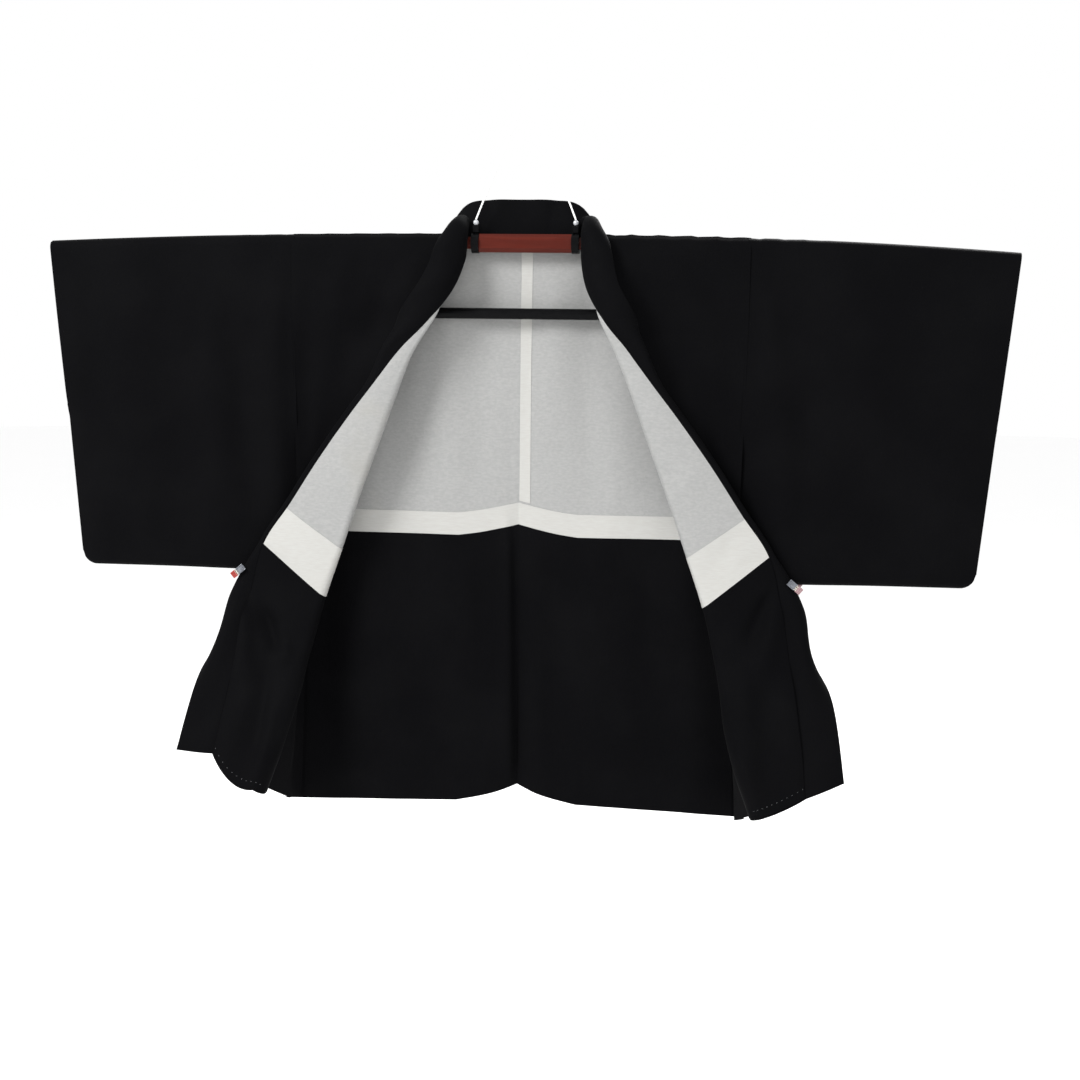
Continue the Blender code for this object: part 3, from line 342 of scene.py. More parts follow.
# Creases laid over the sections: a ridge or, with a negative depth, a trough, from one
# point to another in the garment's own x and z. depth is towards the outside of the
# garment, and towards the viewer on the turned-back strip.
Fold = namedtuple("Fold", "x z x_end z_end width depth")
CREASE_GAIN = 1.4
FOLDS = {
    ("front", "left"): [
        (24, -25.5, 27.4, -48, 2, 0.34),
        (28.6, -27, 29.6, -56, 1, -0.34),
        (17.5, -27, 21.5, -41, 1.6, -0.3),
        (13.6, -25.5, 16, -33, 1.3, 0.2),
        (25, -47, 28.8, -60, 1.4, -0.22),
        (28.5, -80, 29.5, -97, 1.5, -0.4),
    ],
    ("front", "right"): [
        (14.6, -28.5, 22.8, -47, 2, -0.55),
        (21, -26, 27, -45, 2.4, 0.3),
        (28.6, -30, 29.7, -56, 1.1, -0.3),
        (24.5, -47, 28.6, -61, 1.5, -0.3),
        (29, -83, 30.5, -97, 1.5, -0.3),
    ],
    ("strip", "left"): [
        (36.6, -72.5, 35.2, -84, 1.1, 0.7),
        (35.2, -84, 36.4, -95, 1.5, 0.35),
        (34.2, -74, 30.6, -80, 1.1, -0.75),
        (31.6, -76.2, 29.6, -81.4, 0.9, 0.45),
        (32.6, -80.5, 32.4, -93, 1.5, -0.6),
        (31.2, -84.5, 31.8, -96.5, 1, 0.35),
        (33.4, -66.5, 28, -72, 1.3, -0.16),
        (24, -50.5, 20.5, -57.5, 1, 0.1),
        (27.5, -58, 24, -66, 1.4, -0.12),
    ],
    ("strip", "right"): [
        (34.6, -69.5, 31, -77.5, 1, -0.55),
        (35.4, -72, 33.2, -81, 1.1, 0.45),
        (33.6, -80, 34.4, -97, 1.9, -0.4),
        (36.6, -79, 37.6, -94, 1.6, 0.3),
        (31, -79.5, 32.6, -96.5, 1.2, 0.25),
        (25.5, -53, 21, -60, 1.2, 0.1),
        (30.5, -62, 25.5, -69, 1.4, -0.14),
    ],
    ("back", "left"): [
        (4.5, -27, 5.5, -58, 2.4, 0.18),
        (10.5, -30, 9.5, -62, 2.6, -0.22),
        (16.5, -29, 17.5, -57, 2.2, 0.2),
        (23.5, -27, 24.5, -60, 2.6, -0.22),
        (7.5, -66, 6.5, -99, 2.8, -0.34),
        (13.5, -62, 14.5, -100, 2.6, 0.36),
        (20, -64, 21.5, -100, 3, -0.38),
        (26.5, -61, 27, -100, 2.2, 0.3),
        (1.6, -62, 1.2, -98.5, 0.9, -0.5),
    ],
    ("back", "right"): [
        (5, -28, 4, -54, 2.2, -0.16),
        (9, -27, 10, -63, 2.2, 0.2),
        (15, -31, 14, -60, 2.8, -0.2),
        (22, -27, 23, -61, 2.6, 0.22),
        (4.5, -64, 5.5, -98, 2.4, 0.26),
        (11.5, -63, 10.5, -100, 2.8, -0.3),
        (17.5, -66, 18.5, -100.5, 2.6, 0.3),
        (23.5, -62, 25, -101, 2.6, -0.34),
    ],
    ("sleeve_front", "left"): [
        (38.6, -38, 35.6, -66, 2.2, -0.5),
        (33.2, -30, 33.4, -62, 1.8, 0.3),
        (43, -33, 41, -67, 2.6, 0.34),
        (48.5, -27, 46.5, -60, 3.2, -0.26),
        (54, -33, 52, -68, 3.4, 0.24),
        (60.5, -28, 57.5, -58, 2.4, -0.22),
    ],
    ("sleeve_front", "right"): [
        (33.8, -31, 36.2, -66, 2, 0.4),
        (39.4, -40, 38.8, -67, 2.2, -0.4),
        (45.5, -27, 44, -56, 3, 0.2),
        (50.5, -36, 49, -68, 3.4, -0.26),
        (57.5, -28, 55.5, -62, 3, 0.22),
    ],
    ("sleeve_back", "left"): [
        (36.5, -34, 36, -67, 2.4, -0.34),
        (42.5, -28, 43.5, -62, 3, 0.3),
        (50, -36, 49, -68, 3.2, -0.28),
        (57.5, -27, 56, -60, 2.8, 0.22),
    ],
    ("sleeve_back", "right"): [
        (34.5, -29, 35.5, -64, 2.2, 0.32),
        (40.5, -37, 39, -68, 2.6, -0.32),
        (47, -27, 48.5, -59, 3.2, 0.24),
        (54.5, -33, 53, -67, 3.2, -0.26),
    ],
}
# Broad, shallow waves of cloth that has hung for a while: wavelength along x and z, phase, depth.
Wave = namedtuple("Wave", "x z phase depth")
WAVES = [Wave(13, 90, 0.4, 0.05), Wave(7.3, 61, 1.9, 0.028), Wave(4.1, 23, 3.1, 0.012)]
# Wrinkles across the collar band: places along and across it, their lengths and depth.
Wrinkle = namedtuple("Wrinkle", "t v along across depth")
WRINKLES = {
    "left": [
        (-2.6, 0.2, 0.16, 0.3, -0.1),
        (-1.2, 0.4, 0.2, 0.35, 0.1),
        (-0.5, 0.55, 0.18, 0.3, -0.14),
        (0.7, 0.45, 0.3, 0.3, 0.12),
        (1.6, 0.5, 0.28, 0.3, -0.14),
        (2.5, 0.4, 0.35, 0.3, 0.1),
        (3.4, 0.6, 0.3, 0.3, -0.14),
        (4.2, 0.5, 0.22, 0.3, 0.12),
        (11.8, 0.6, 0.5, 0.4, 0.3),
        (12.5, 0.45, 0.35, 0.35, -0.3),
    ],
    "right": [
        (-3.1, 0.25, 0.14, 0.3, -0.1),
        (-1, 0.5, 0.22, 0.3, 0.12),
        (-0.3, 0.5, 0.16, 0.3, -0.12),
        (1, 0.4, 0.32, 0.3, 0.12),
        (2, 0.55, 0.3, 0.3, -0.12),
        (3, 0.4, 0.35, 0.3, 0.12),
        (3.9, 0.55, 0.24, 0.3, -0.12),
        (12, 0.55, 0.4, 0.4, 0.22),
    ],
}


def ramp(start, end, value):
    """0 up to start, 1 from end on, straight between them."""
    return np.clip((value - start) / (end - start), 0, 1)


def smoothstep(start, end, value):
    x = ramp(start, end, value)
    return x * x * (3 - 2 * x)


def fold_depth(folds, x, z):
    """The sum of the folds' depths at arrays of x and z, in centimetres."""
    total = np.zeros_like(x)
    for fold in map(Fold._make, folds):
        run_x, run_z = fold.x_end - fold.x, fold.z_end - fold.z
        length = math.hypot(run_x, run_z)
        along = ((x - fold.x) * run_x + (z - fold.z) * run_z) / length
        across = ((x - fold.x) * run_z - (z - fold.z) * run_x) / length
        taper = min(0.3 * length, 5)
        ends = smoothstep(-0.3 * taper, taper, along)
        ends *= 1 - smoothstep(length - taper, length + 0.3 * taper, along)
        width = fold.width * (0.75 + 0.5 * np.clip(along / length, 0, 1))
        total += CREASE_GAIN * fold.depth * ends * np.exp(-((across / width) ** 2))
    return total


def wave_depth(x, z, phase):
    total = np.zeros_like(x)
    for wave in WAVES:
        total += wave.depth * np.sin(2 * math.pi * (x / wave.x + z / wave.z) + wave.phase + phase)
    return total


# ---------------- grids and shells


SHARP_ANGLE = 50


def unit_normals(points):
    """Unit normals of a grid of points, from its own neighbours."""
    normals = np.cross(np.gradient(points, axis=0), np.gradient(points, axis=1))
    return normals / np.maximum(np.linalg.norm(normals, axis=2, keepdims=True), 1e-9)


def runs(*stretches):
    """Rising values: each stretch is (start, end, count), and its end is the next one's start."""
    values = [stretches[0][0]]
    for start, end, count in stretches:
        values += [start + (end - start) * (k + 1) / count for k in range(count)]
    return values


def world_grid(points, side):
    """A grid of garment points in centimetres as metres in the frame."""
    x, y, z = points[..., 0], points[..., 1], points[..., 2]
    lean = NECK_LEAN * ramp(*LEAN_Z, z) * ramp(*LEAN_X, x) * ramp(*LEAN_Y, y)
    return np.stack(((SIDES[side] * x + lean) * CM + GARMENT_SHIFT, y * CM, z * CM), axis=-1)


def shell(name, outer, inner, keep=None, rings=False):
    """A closed wall between two grids. keep masks the cells, rings joins the last column to the first."""
    rows, columns = outer.shape[:2]
    count = rows * columns
    vertices = np.concatenate((outer.reshape(-1, 3), inner.reshape(-1, 3)))
    faces, edges = [], {}
    for i in range(rows - 1):
        for j in range(columns if rings else columns - 1):
            if keep is not None and not keep[i, j]:
                continue
            after = (j + 1) % columns
            loop = (i * columns + j, (i + 1) * columns + j, (i + 1) * columns + after, i * columns + after)
            faces.append(loop)
            faces.append(tuple(count + k for k in reversed(loop)))
            for a, b in zip(loop, loop[1:] + loop[:1]):
                if (b, a) in edges:
                    del edges[(b, a)]
                else:
                    edges[(a, b)] = True
    faces += [(b, a, count + a, count + b) for a, b in edges]
    mesh = bpy.data.meshes.new(name)
    mesh.from_pydata(vertices.tolist(), [], faces)
    bm = bmesh.new()
    bm.from_mesh(mesh)
    bmesh.ops.delete(bm, geom=[v for v in bm.verts if not v.link_faces], context="VERTS")
    bmesh.ops.recalc_face_normals(bm, faces=bm.faces)
    return finish(name, bm, mesh)


def fill(mesh, bm):
    """Puts the geometry into the mesh, smooth except at its sharp edges."""
    bm.to_mesh(mesh)
    bm.free()
    mesh.shade_smooth()
    mesh.set_sharp_from_angle(angle=math.radians(SHARP_ANGLE))


def added(name, data):
    """A new object of the data, in the scene."""
    thing = bpy.data.objects.new(name, data)
    bpy.context.scene.collection.objects.link(thing)
    return thing


def finish(name, bm, mesh=None):
    """A new object of the geometry."""
    mesh = mesh or bpy.data.meshes.new(name)
    fill(mesh, bm)
    return added(name, mesh)


def dress(thing, material, slot, *nodes):
    """Gives a piece its material and lets it stand for CAD nodes. slot is not used."""
    thing.data.materials.append(material)
    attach(thing, "root")
    if nodes:
        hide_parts(*nodes)
    return thing


# ---------------- body


# The strip's own folds end over these columns and start over these rows. All folds fade
# in over the rows below the crest, and out towards the front's side and the centre back.
STRIP_END, STRIP_START = (2, 3.2), (3.6, 4.6)
FRONT_FADE, BACK_FADE = (0.3, 1.5), (0.3, 1.6)
SIDE_FADE, CENTRE_FADE = (5.6, 6), (0, 1.2)


class BodySide:
    """The surfaces of one side of the body, as grids of garment points with outward normals."""

    def __init__(self, side):
        self.side = side
        self.front = FrontPanel(FRONT_ROWS + FRONT_LOWER_ROWS[side])
        self.back = net([back_control_row(row) for row in BACK_ROWS])
        self.neck = net([back_control_row(row, in_neck=True) for row in BACK_ROWS])

    def lowered(self, point):
        """The point, lowered with the hanger's arm and the ripples of the shoulder line."""
        fade = clamp((point[2] - SETTLED_Z) / (SHOULDER_TOP - SETTLED_Z))
        drop = droop(point[0], self.side) * fade + ripple(point[0], self.side) * fade**RIPPLE_FADE
        return point - np.array((0, 0, drop))

    def grid(self, surface, us, vs):
        return np.array([[self.lowered(surface(u, v)) for v in vs] for u in us])

    def front_grid(self, us, vs):
        """Points and normals of the front, creased. The turned-back strip has its own folds."""
        points = self.grid(self.front.at, us, vs)
        x, z = points[..., 0], points[..., 2]
        row, column = np.array(us)[:, None], np.array(vs)[None, :]
        turned = 1 - smoothstep(*STRIP_END, column)
        rolled = smoothstep(*STRIP_START, row)
        plain = (1 - turned) * rolled + (1 - rolled)
        depth = plain * (fold_depth(FOLDS["front", self.side], x, z) + wave_depth(x, z, 0))
        strip_depth = fold_depth(FOLDS["strip", self.side], x, z) + 0.6 * wave_depth(x, z, 2)
        depth -= turned * rolled * strip_depth
        depth *= smoothstep(*FRONT_FADE, row) * (1 - 0.7 * smoothstep(*SIDE_FADE, column))
        return self.creased(points, depth, 1)

    def back_grid(self, us, neck_vs, vs):
        """Points and normals of the back, creased, from the centre seam to the side."""
        points = np.concatenate((self.grid(self.neck, us, neck_vs), self.grid(self.back, us, vs)), axis=1)
        x, z = points[..., 0], points[..., 2]
        depth = fold_depth(FOLDS["back", self.side], x, z) + 0.8 * wave_depth(x, z, 4)
        depth *= smoothstep(*BACK_FADE, np.array(us)[:, None]) * smoothstep(*CENTRE_FADE, x)
        points, normals = self.creased(points, depth, -1)
        normals[:, 0, 0] = 0
        normals[:, 0] /= np.linalg.norm(normals[:, 0], axis=1)[:, None]
        return points, normals

    @staticmethod
    def creased(points, depth, outwards):
        points = points + outwards * unit_normals(points) * depth[..., None]
        return points, outwards * unit_normals(points)


FRONT_US = runs((0, 1, 6), (1, 3, 12), (3, 5, 22), (5, 9, 36), (9, ROW_FRONT_HEM, 64))
FRONT_VS = runs((0, 2, 16), (2, 4, 16), (4, 6, 18))
BACK_US = runs((0, 1, 6), (1, 2, 8), (2, ROW_BACK_HEM, 66))
NECK_VS = runs((0, 1, 8), (1, 3, 14))[:-1]


def wall(name, side, points, normals, thickness, offset=0, keep=None):
    """A closed wall of that thickness about a grid moved out by offset."""
    middle = points + normals * offset
    outer = world_grid(middle + normals * thickness / 2, side)
    inner = world_grid(middle - normals * thickness / 2, side)
    return shell(name, outer, inner, keep)


def body_panel(body, material):
    """Back, shoulder and front of one side as one length of crepe."""
    neck = len(NECK_VS)
    back = body.back_grid(BACK_US, NECK_VS, FRONT_VS)
    front = body.front_grid(FRONT_US, FRONT_VS)
    back[0][0, neck:] = front[0][0]
    back[1][0, neck:] = (0, 0, 1)
    pad = np.zeros((len(FRONT_US) - 1, neck, 3))
    below = [np.concatenate((pad, grid[1:]), axis=1) for grid in front]
    points, normals = (np.concatenate((back[k][::-1], below[k])) for k in (0, 1))
    keep = np.ones(points.shape[:2], bool)
    first = next(i for i, u in enumerate(BACK_US[::-1]) if u <= ROW_NECKLINE)
    keep[first:, :neck] = False
    side = body.side
    piece = wall(f"crepe_body_{side}", side, points, normals, CREPE, keep=keep)
    dress(piece, material, "crepe", f"body_panel_{side}")


def between(values, start, end):
    """The values from start to end, with both ends added."""
    return [start] + [u for u in values if start + 1e-3 < u < end - 1e-3] + [end]


# What lies inside the crepe: each layer's first and last row, its flat size and how much
# further in than the lining it lies. The layers overlap a little and stop before the hem.
Layer = namedtuple("Layer", "name cloth start end flat lift")
LAYERS = {
    "back": [
        ("lining", "silk_lining", 1.25, 4.75, (0.31, 0.40), 0),
        ("lining_band", "cream_band", 4.74, 4.93, (0.31, 0.03), 0.04),
        ("facing", "crepe_facing", 4.92, 7.98, (0.31, 0.37), 0),
    ],
    "front": [
        ("lining", "silk_lining", 2, 9.132, (0.22, 0.44), 0),
        ("lining_band", "cream_band", 9.12, 10, (0.22, 0.07), 0.04),
        ("facing", "crepe_facing", 9.988, 12.98, (0.22, 0.27), 0),
    ],
}
SEAM_COLUMN, SIDE_COLUMN = 0.04, 5.95


def inside(body, cloths):
    """Lining, cream band and facing of the back and of the turned-back front."""
    side = body.side
    for panel, layers in LAYERS.items():
        for layer in map(Layer._make, layers):
            if panel == "back":
                rows = between(BACK_US, layer.start, layer.end)
                points, normals = body.back_grid(rows, NECK_VS, FRONT_VS[:-1] + [SIDE_COLUMN])
            else:
                rows = between(FRONT_US, layer.start, layer.end)
                points, normals = body.front_grid(rows, [SEAM_COLUMN, *FRONT_VS[1:-1], SIDE_COLUMN])
            name = f"{panel}_{layer.name}_{side}"
            piece = wall(f"inside_{name}", side, points, normals, LINING, -LINING_OFFSET - layer.lift)
            dress(piece, cloths[layer.cloth], layer.cloth, name)


# The back lining's seam allowance, pressed to one side: its reach, thickness and lift.
ALLOWANCE_ROWS = (1.27, 4.72)
ALLOWANCE_COLUMNS = [0.04, 0.15, 0.3, 0.45, 0.6]
ALLOWANCE_WALL = 0.04
ALLOWANCE_LIFT = 0.07


def centre_allowance(body, cream):
    """The cream strip down the middle of the back lining."""
    rows = between(BACK_US, *ALLOWANCE_ROWS)
    grids = body.back_grid(rows, ALLOWANCE_COLUMNS, FRONT_VS)
    points, normals = (grid[:, : len(ALLOWANCE_COLUMNS)] for grid in grids)
    offset = -LINING_OFFSET - ALLOWANCE_LIFT
    piece = wall("inside_centre_allowance", body.side, points, normals, ALLOWANCE_WALL, offset)
    dress(piece, cream, "cream_band", "centre_allowance")


# The side wedge bows in at the armhole, and out from this share of its length to the hem.
GUSSET_IN, GUSSET_OUT, GUSSET_OUT_START = 0.8, 1.7, 0.3


def gusset(body, material):
    """The narrow wedge between back and front, from the armhole to the hem."""
    side = body.side
    count, across = 40, 8
    points = np.zeros((count + 1, across + 1, 3))
    front_us = runs((ROW_ARMHOLE, ROW_FRONT_HEM, count))
    back_us = runs((ROW_BACK_ARMHOLE, ROW_BACK_HEM, count))
    front_edge = body.front_grid(front_us, FRONT_VS)[0][:, -1]
    back_edge = body.back_grid(back_us, NECK_VS, FRONT_VS)[0][:, -1]
    for i in range(count + 1):
        f = i / count
        front, back = front_edge[i], back_edge[i]
        fullness = GUSSET_OUT * max(f - GUSSET_OUT_START, 0) - GUSSET_IN * (1 - f) ** 2
        for j in range(across + 1):
            v = j / across
            points[i, j] = front + (back - front) * v + np.array((math.sin(math.pi * v) * fullness, 0, 0))
    normals = unit_normals(points)
    piece = wall(f"crepe_gusset_{side}", side, points, normals, CREPE)
    dress(piece, material, "crepe", f"gusset_{side}")


# ---------------- collar


def collar_band(bodies, material):
    """The whole folded band, from the left hem round the neck to the right hem."""
    ts = runs(
        (COLLAR_FIRST, COLLAR_FRONT, 90), (COLLAR_FRONT, COLLAR_FLAT, 78), (COLLAR_FLAT, COLLAR_HEM, 44)
    )
    spread = runs((0, 0.92, 20), (0.92, 0.985, 4), (0.985, 1, 3))
    halves = []
    for side, body in bodies.items():
        collar = Collar(body)
        points = np.array([[collar.at(t, v) for v in spread] for t in ts])
        normals = unit_normals(points)
        t, v = np.array(ts)[:, None], np.array(spread)[None, :]
        depth = np.zeros(points.shape[:2])
        for wrinkle in map(Wrinkle._make, WRINKLES[side]):
            far = ((t - wrinkle.t) / wrinkle.along) ** 2 + ((v - wrinkle.v) / wrinkle.across) ** 2
            depth += wrinkle.depth * np.exp(-far)
        points = points + normals * (depth * smoothstep(0, 0.25, v))[..., None]
        grid = world_grid(points, side)
        halves.append(grid[::-1] if side == "left" else grid[1:])
    points = np.concatenate(halves)
    normals = unit_normals(points)
    normals[len(halves[0]) - 1, :, 0] = 0
    rounding = np.maximum((np.array(spread) - 1 + COLLAR_EDGE) / COLLAR_EDGE, 0)
    half = COLLAR_WALL / 2 * CM * np.sqrt(np.maximum(1 - rounding**2, 0.02))[None, :, None]
    piece = shell("crepe_collar", points + normals * half, points - normals * half)
    nodes = ["collar_neck"] + [f"collar_{part}_{side}" for part in COLLAR_PARTS for side in SIDES]
    dress(piece, material, "crepe", *nodes)


# ---------------- sleeves


def rounded(f):
    """Half the height of a round edge, at f of its radius in from it."""
    return math.sqrt(1 - (1 - clamp(f)) ** 2)


class Sleeve:
    """The flat bag of one sleeve, from its seam on the body to its outer edge."""

    def __init__(self, side):
        self.side = side
        self.tip_top, self.tip_bottom = SLEEVE_TIP[side]

    def outer(self, z):
        fall = (SHOULDER_TOP - z) / (SHOULDER_TOP - SLEEVE_BOTTOM)
        return self.tip_top - (self.tip_top - self.tip_bottom) * fall

    def x(self, fraction, z):
        """x at a fraction of the way out, the inner edge being tucked behind the side seam."""
        inner = side_line(z) - INNER_EDGE_TUCK + 0.04 * clamp((ARMHOLE_Z - z) / 3)
        return inner + fraction * (self.outer(z) - inner)

    def at(self, fraction, fall, sign):
        """The point at a fraction of the way out and down, on the front at -1 or the back at 1."""
        bottom = SLEEVE_BOTTOM
        reach = self.x(fraction, bottom) - (self.outer(bottom) - SLEEVE_CORNER)
        if reach > 0:
            bottom += SLEEVE_CORNER - math.sqrt(max(SLEEVE_CORNER**2 - reach**2, 0))
        x_top = self.x(fraction, SHOULDER_TOP)
        slack = ripple(x_top, self.side) * clamp((SLACK_END - x_top) / SLACK_FADE)
        top = SHOULDER_TOP - droop(x_top, self.side) - slack
        z = top + (bottom - top) * fall
        depth = catmull_rom(SLEEVE_HALF_DEPTHS, fall * (len(SLEEVE_HALF_DEPTHS) - 1))
        depth *= rounded((top - z) / SLEEVE_TOP_RADIUS) * rounded((z - bottom) / SLEEVE_BOTTOM_RADIUS)
        sewn = clamp((top - z - CUFF_OPENING + 2) / 4)
        edge = clamp((fraction - 1 + CUFF_EDGE) / CUFF_EDGE) ** 2
        depth *= 1 - SEWN_PRESS * sewn * edge
        depth *= 1 - CUFF_PRESS * (1 - sewn) * edge * clamp((top - z) / CUFF_OPENING)
        loose = clamp((ARMHOLE_Z + 1 - z) / 4) * clamp(1 - fraction / INNER_EDGE_WIDTH)
        depth *= 1 - INNER_PRESS * loose
        x = self.x(fraction, z)
        pull = CLIP_PULL * fall**2 * math.exp(-(((x - CLIP_X) / CLIP_PULL_WIDTH) ** 2))
        return np.array((x, sign * depth - pull, z))


def sleeve(body, material):
    """One sleeve round the hanger's arm, its cuff open above the sewn part of its outer edge."""
    side = body.side
    bag = Sleeve(side)
    fractions = runs((0, 0.06, 3), (0.06, 0.86, 34), (0.86, 0.975, 9), (0.975, 1, 4))
    falls = runs((0, 0.03, 5), (0.03, 0.94, 44), (0.94, 1, 7))
    out, down = np.array(fractions)[:, None], np.array(falls)[None, :]
    room = smoothstep(0.02, 0.14, down) * (1 - smoothstep(0.90, 0.99, down))
    room = room * smoothstep(0, 0.06, out) * (1 - smoothstep(0.9, 1, out))
    sheets = []
    for key, sign in (("sleeve_front", -1), ("sleeve_back", 1)):
        points = np.array([[bag.at(f, fall, sign) for fall in falls] for f in fractions])
        x, z = points[..., 0], points[..., 2]
        points[..., 1] += sign * room * (fold_depth(FOLDS[key, side], x, z) + wave_depth(x, z, 1 + sign))
        sheets.append(points)
    front, back = sheets
    outer = world_grid(np.concatenate((front, back[:, -2:0:-1]), axis=1), side)
    normals = unit_normals(np.concatenate((outer[:, -1:], outer, outer[:, :1]), axis=1))[:, 1:-1]
    if np.sum(normals * (outer - outer.mean(axis=1, keepdims=True))) < 0:
        normals = -normals
    piece = shell(f"crepe_sleeve_{side}", outer, outer - normals * CREPE * CM, rings=True)
    sew_edge(piece, outer[-1], Vector((SIDES[side] * SEWN_EDGE, 0, 0)))
    dress(piece, material, "crepe", f"sleeve_{side}")


def sew_edge(piece, edge, outwards):
    """Sews up the outer edge below the cuff's opening, with a narrow strip from front to back."""
    half = len(edge) // 2
    first = next(k for k in range(half) if edge[k][2] < edge[0][2] - CUFF_OPENING * CM)
    bm = bmesh.new()
    bm.from_mesh(piece.data)
    rings = []
    for k in range(first, half + 1):
        ends = [Vector(edge[k])] if k == half else [Vector(edge[k]), Vector(edge[-k])]
        outer = [bm.verts.new(end + outwards) for end in ends]
        inner = [bm.verts.new(end - outwards * 3) for end in ends]
        rings.append((outer[0], outer[-1], inner[-1], inner[0]))
    bm.faces.new(rings[0])
    for ring, after in zip(rings, rings[1:]):
        for k in range(4):
            corners = list(dict.fromkeys((ring[k - 1], ring[k], after[k], after[k - 1])))
            bm.faces.new(corners)
    bmesh.ops.recalc_face_normals(bm, faces=bm.faces)
    fill(piece.data, bm)


# ---------------- materials


# Where a colour mix node keeps its two colours and its result.
MIX_A, MIX_B, MIX_RESULT = 6, 7, 2


class Paint:
    """A Principled material with helpers for procedural colour and relief, in object coordinates."""

    def __init__(self, name, colour, roughness, **sockets):
        self.material = bpy.data.materials.new(name)
        self.material.use_nodes = True
        self.tree = self.material.node_tree
        self.shader = self.tree.nodes["Principled BSDF"]
        self.shader.inputs["Base Color"].default_value = (*colour, 1)
        self.shader.inputs["Roughness"].default_value = roughness
        for socket, value in sockets.items():
            self.shader.inputs[socket.replace("_", " ")].default_value = value
        self.place = self.tree.nodes.new("ShaderNodeTexCoord").outputs["Object"]
        self.relief = None

    def node(self, kind, inputs=(), **settings):
        made = self.tree.nodes.new(kind)
        for key, value in settings.items():
            setattr(made, key, value)
        for socket, value in dict(inputs).items():
            if isinstance(value, bpy.types.NodeSocket):
                self.tree.links.new(value, made.inputs[socket])
            else:
                made.inputs[socket].default_value = value
        return made

    def stretched(self, *scale):
        """The object's coordinates, scaled."""
        return self.node("ShaderNodeMapping", {"Vector": self.place, "Scale": scale}).outputs[0]

    def noise(self, scale, detail=3, vector=None):
        inputs = {"Vector": vector or self.place, "Scale": scale, "Detail": detail, "Roughness": 0.55}
        return self.node("ShaderNodeTexNoise", inputs).outputs["Fac"]

    def wave(self, scale, direction, distortion):
        inputs = {"Vector": self.place, "Scale": scale, "Distortion": distortion, "Detail": 1}
        return self.node("ShaderNodeTexWave", inputs, bands_direction=direction).outputs["Fac"]

    def remap(self, value, low, high, to_low=0, to_high=1):
        inputs = {"Value": value, "From Min": low, "From Max": high, "To Min": to_low, "To Max": to_high}
        return self.node("ShaderNodeMapRange", inputs, interpolation_type="SMOOTHSTEP").outputs[0]

    def blend(self, value, first, second):
        """A colour between two, by value. The first may be a socket."""
        first = first if isinstance(first, bpy.types.NodeSocket) else (*first, 1)
        colours = {MIX_A: first, MIX_B: (*second, 1)}
        return self.node("ShaderNodeMix", {"Factor": value, **colours}, data_type="RGBA").outputs[MIX_RESULT]

    def colour(self, socket):
        self.tree.links.new(socket, self.shader.inputs["Base Color"])

    def rough(self, socket):
        self.tree.links.new(socket, self.shader.inputs["Roughness"])

    def bump(self, height, strength, distance):
        """Relief of that distance, on top of the relief so far."""
        inputs = {"Height": height, "Strength": strength, "Distance": distance}
        if self.relief:
            inputs["Normal"] = self.relief
        self.relief = self.node("ShaderNodeBump", inputs).outputs[0]
        self.tree.links.new(self.relief, self.shader.inputs["Normal"])


def crepe_material(name, colour):
    """Matt black silk crepe: a fine pebbled grain with crimped threads, and faint paler patches that are
    partly the cloth's own uneven tone and partly painted soft light.
    """
    # The paler colour of those patches: partly uneven tone of the cloth, partly painted soft light.
    tone_and_light_colour = (0.0026, 0.0026, 0.0030)
    paint = Paint(name, colour, 0.72, Sheen_Weight=0.006, Sheen_Roughness=0.5, Specular_IOR_Level=0.02)
    grain = paint.noise(900, 2, paint.stretched(1, 1, 0.6))
    crimp = paint.noise(420, 3, paint.stretched(1.6, 1, 0.35))
    # Broad noise that pales the black in soft patches: partly uneven tone, partly painted light.
    tone_and_soft_light = paint.noise(9, 3)
    paint.colour(paint.blend(paint.remap(tone_and_soft_light, 0.30, 0.75), colour, tone_and_light_colour))
    paint.rough(paint.remap(grain, 0.2, 0.8, 0.62, 0.82))
    paint.bump(grain, 0.5, 0.00022)
    paint.bump(crimp, 0.45, 0.00030)
    paint.bump(paint.noise(38, 3), 0.25, 0.0010)
    return paint.material


def lining_material():
    """Ivory lining silk with a small woven figure and faint stains of age."""
    base, shade, aged = (0.272, 0.272, 0.266), (0.235, 0.237, 0.233), (0.258, 0.250, 0.222)
    paint = Paint("silk_lining", base, 0.52, Sheen_Weight=0.12, Sheen_Roughness=0.35, Specular_IOR_Level=0.35)
    cells = paint.node("ShaderNodeTexVoronoi", {"Vector": paint.stretched(1, 1, 0.8), "Scale": 210})
    figure = paint.remap(cells.outputs["Distance"], 0.18, 0.50)
    slub = paint.noise(260, 3, paint.stretched(0.6, 0.6, 1.5))
    threads = paint.wave(420, "Z", 1.2)
    cloud = paint.noise(7, 4)
    figured = {0: paint.remap(slub, 0.25, 0.75), 1: paint.remap(figure, 0, 1, 0.55, 1)}
    weave = paint.node("ShaderNodeMath", figured, operation="MULTIPLY").outputs[0]
    colour = paint.blend(weave, shade, base)
    paint.colour(paint.blend(paint.remap(cloud, 0.58, 0.82, 0, 0.45), colour, aged))
    paint.rough(paint.remap(figure, 0, 1, 0.40, 0.62))
    paint.bump(figure, 0.35, 0.00030)
    paint.bump(threads, 0.20, 0.00015)
    paint.bump(paint.noise(30, 4), 0.35, 0.0016)
    return paint.material


def cream_material():
    """Plain cream silk of the band under the lining and the centre strip."""
    paint = Paint("cream_band", (0.352, 0.350, 0.336), 0.5, Sheen_Weight=0.10, Sheen_Roughness=0.4)
    slub = paint.noise(300, 3, paint.stretched(0.3, 0.3, 2.5))
    paint.colour(paint.blend(paint.remap(slub, 0.2, 0.8), (0.336, 0.331, 0.311), (0.364, 0.362, 0.348)))
    paint.bump(slub, 0.3, 0.0002)
    paint.bump(paint.noise(34, 4), 0.3, 0.0012)
    return paint.material


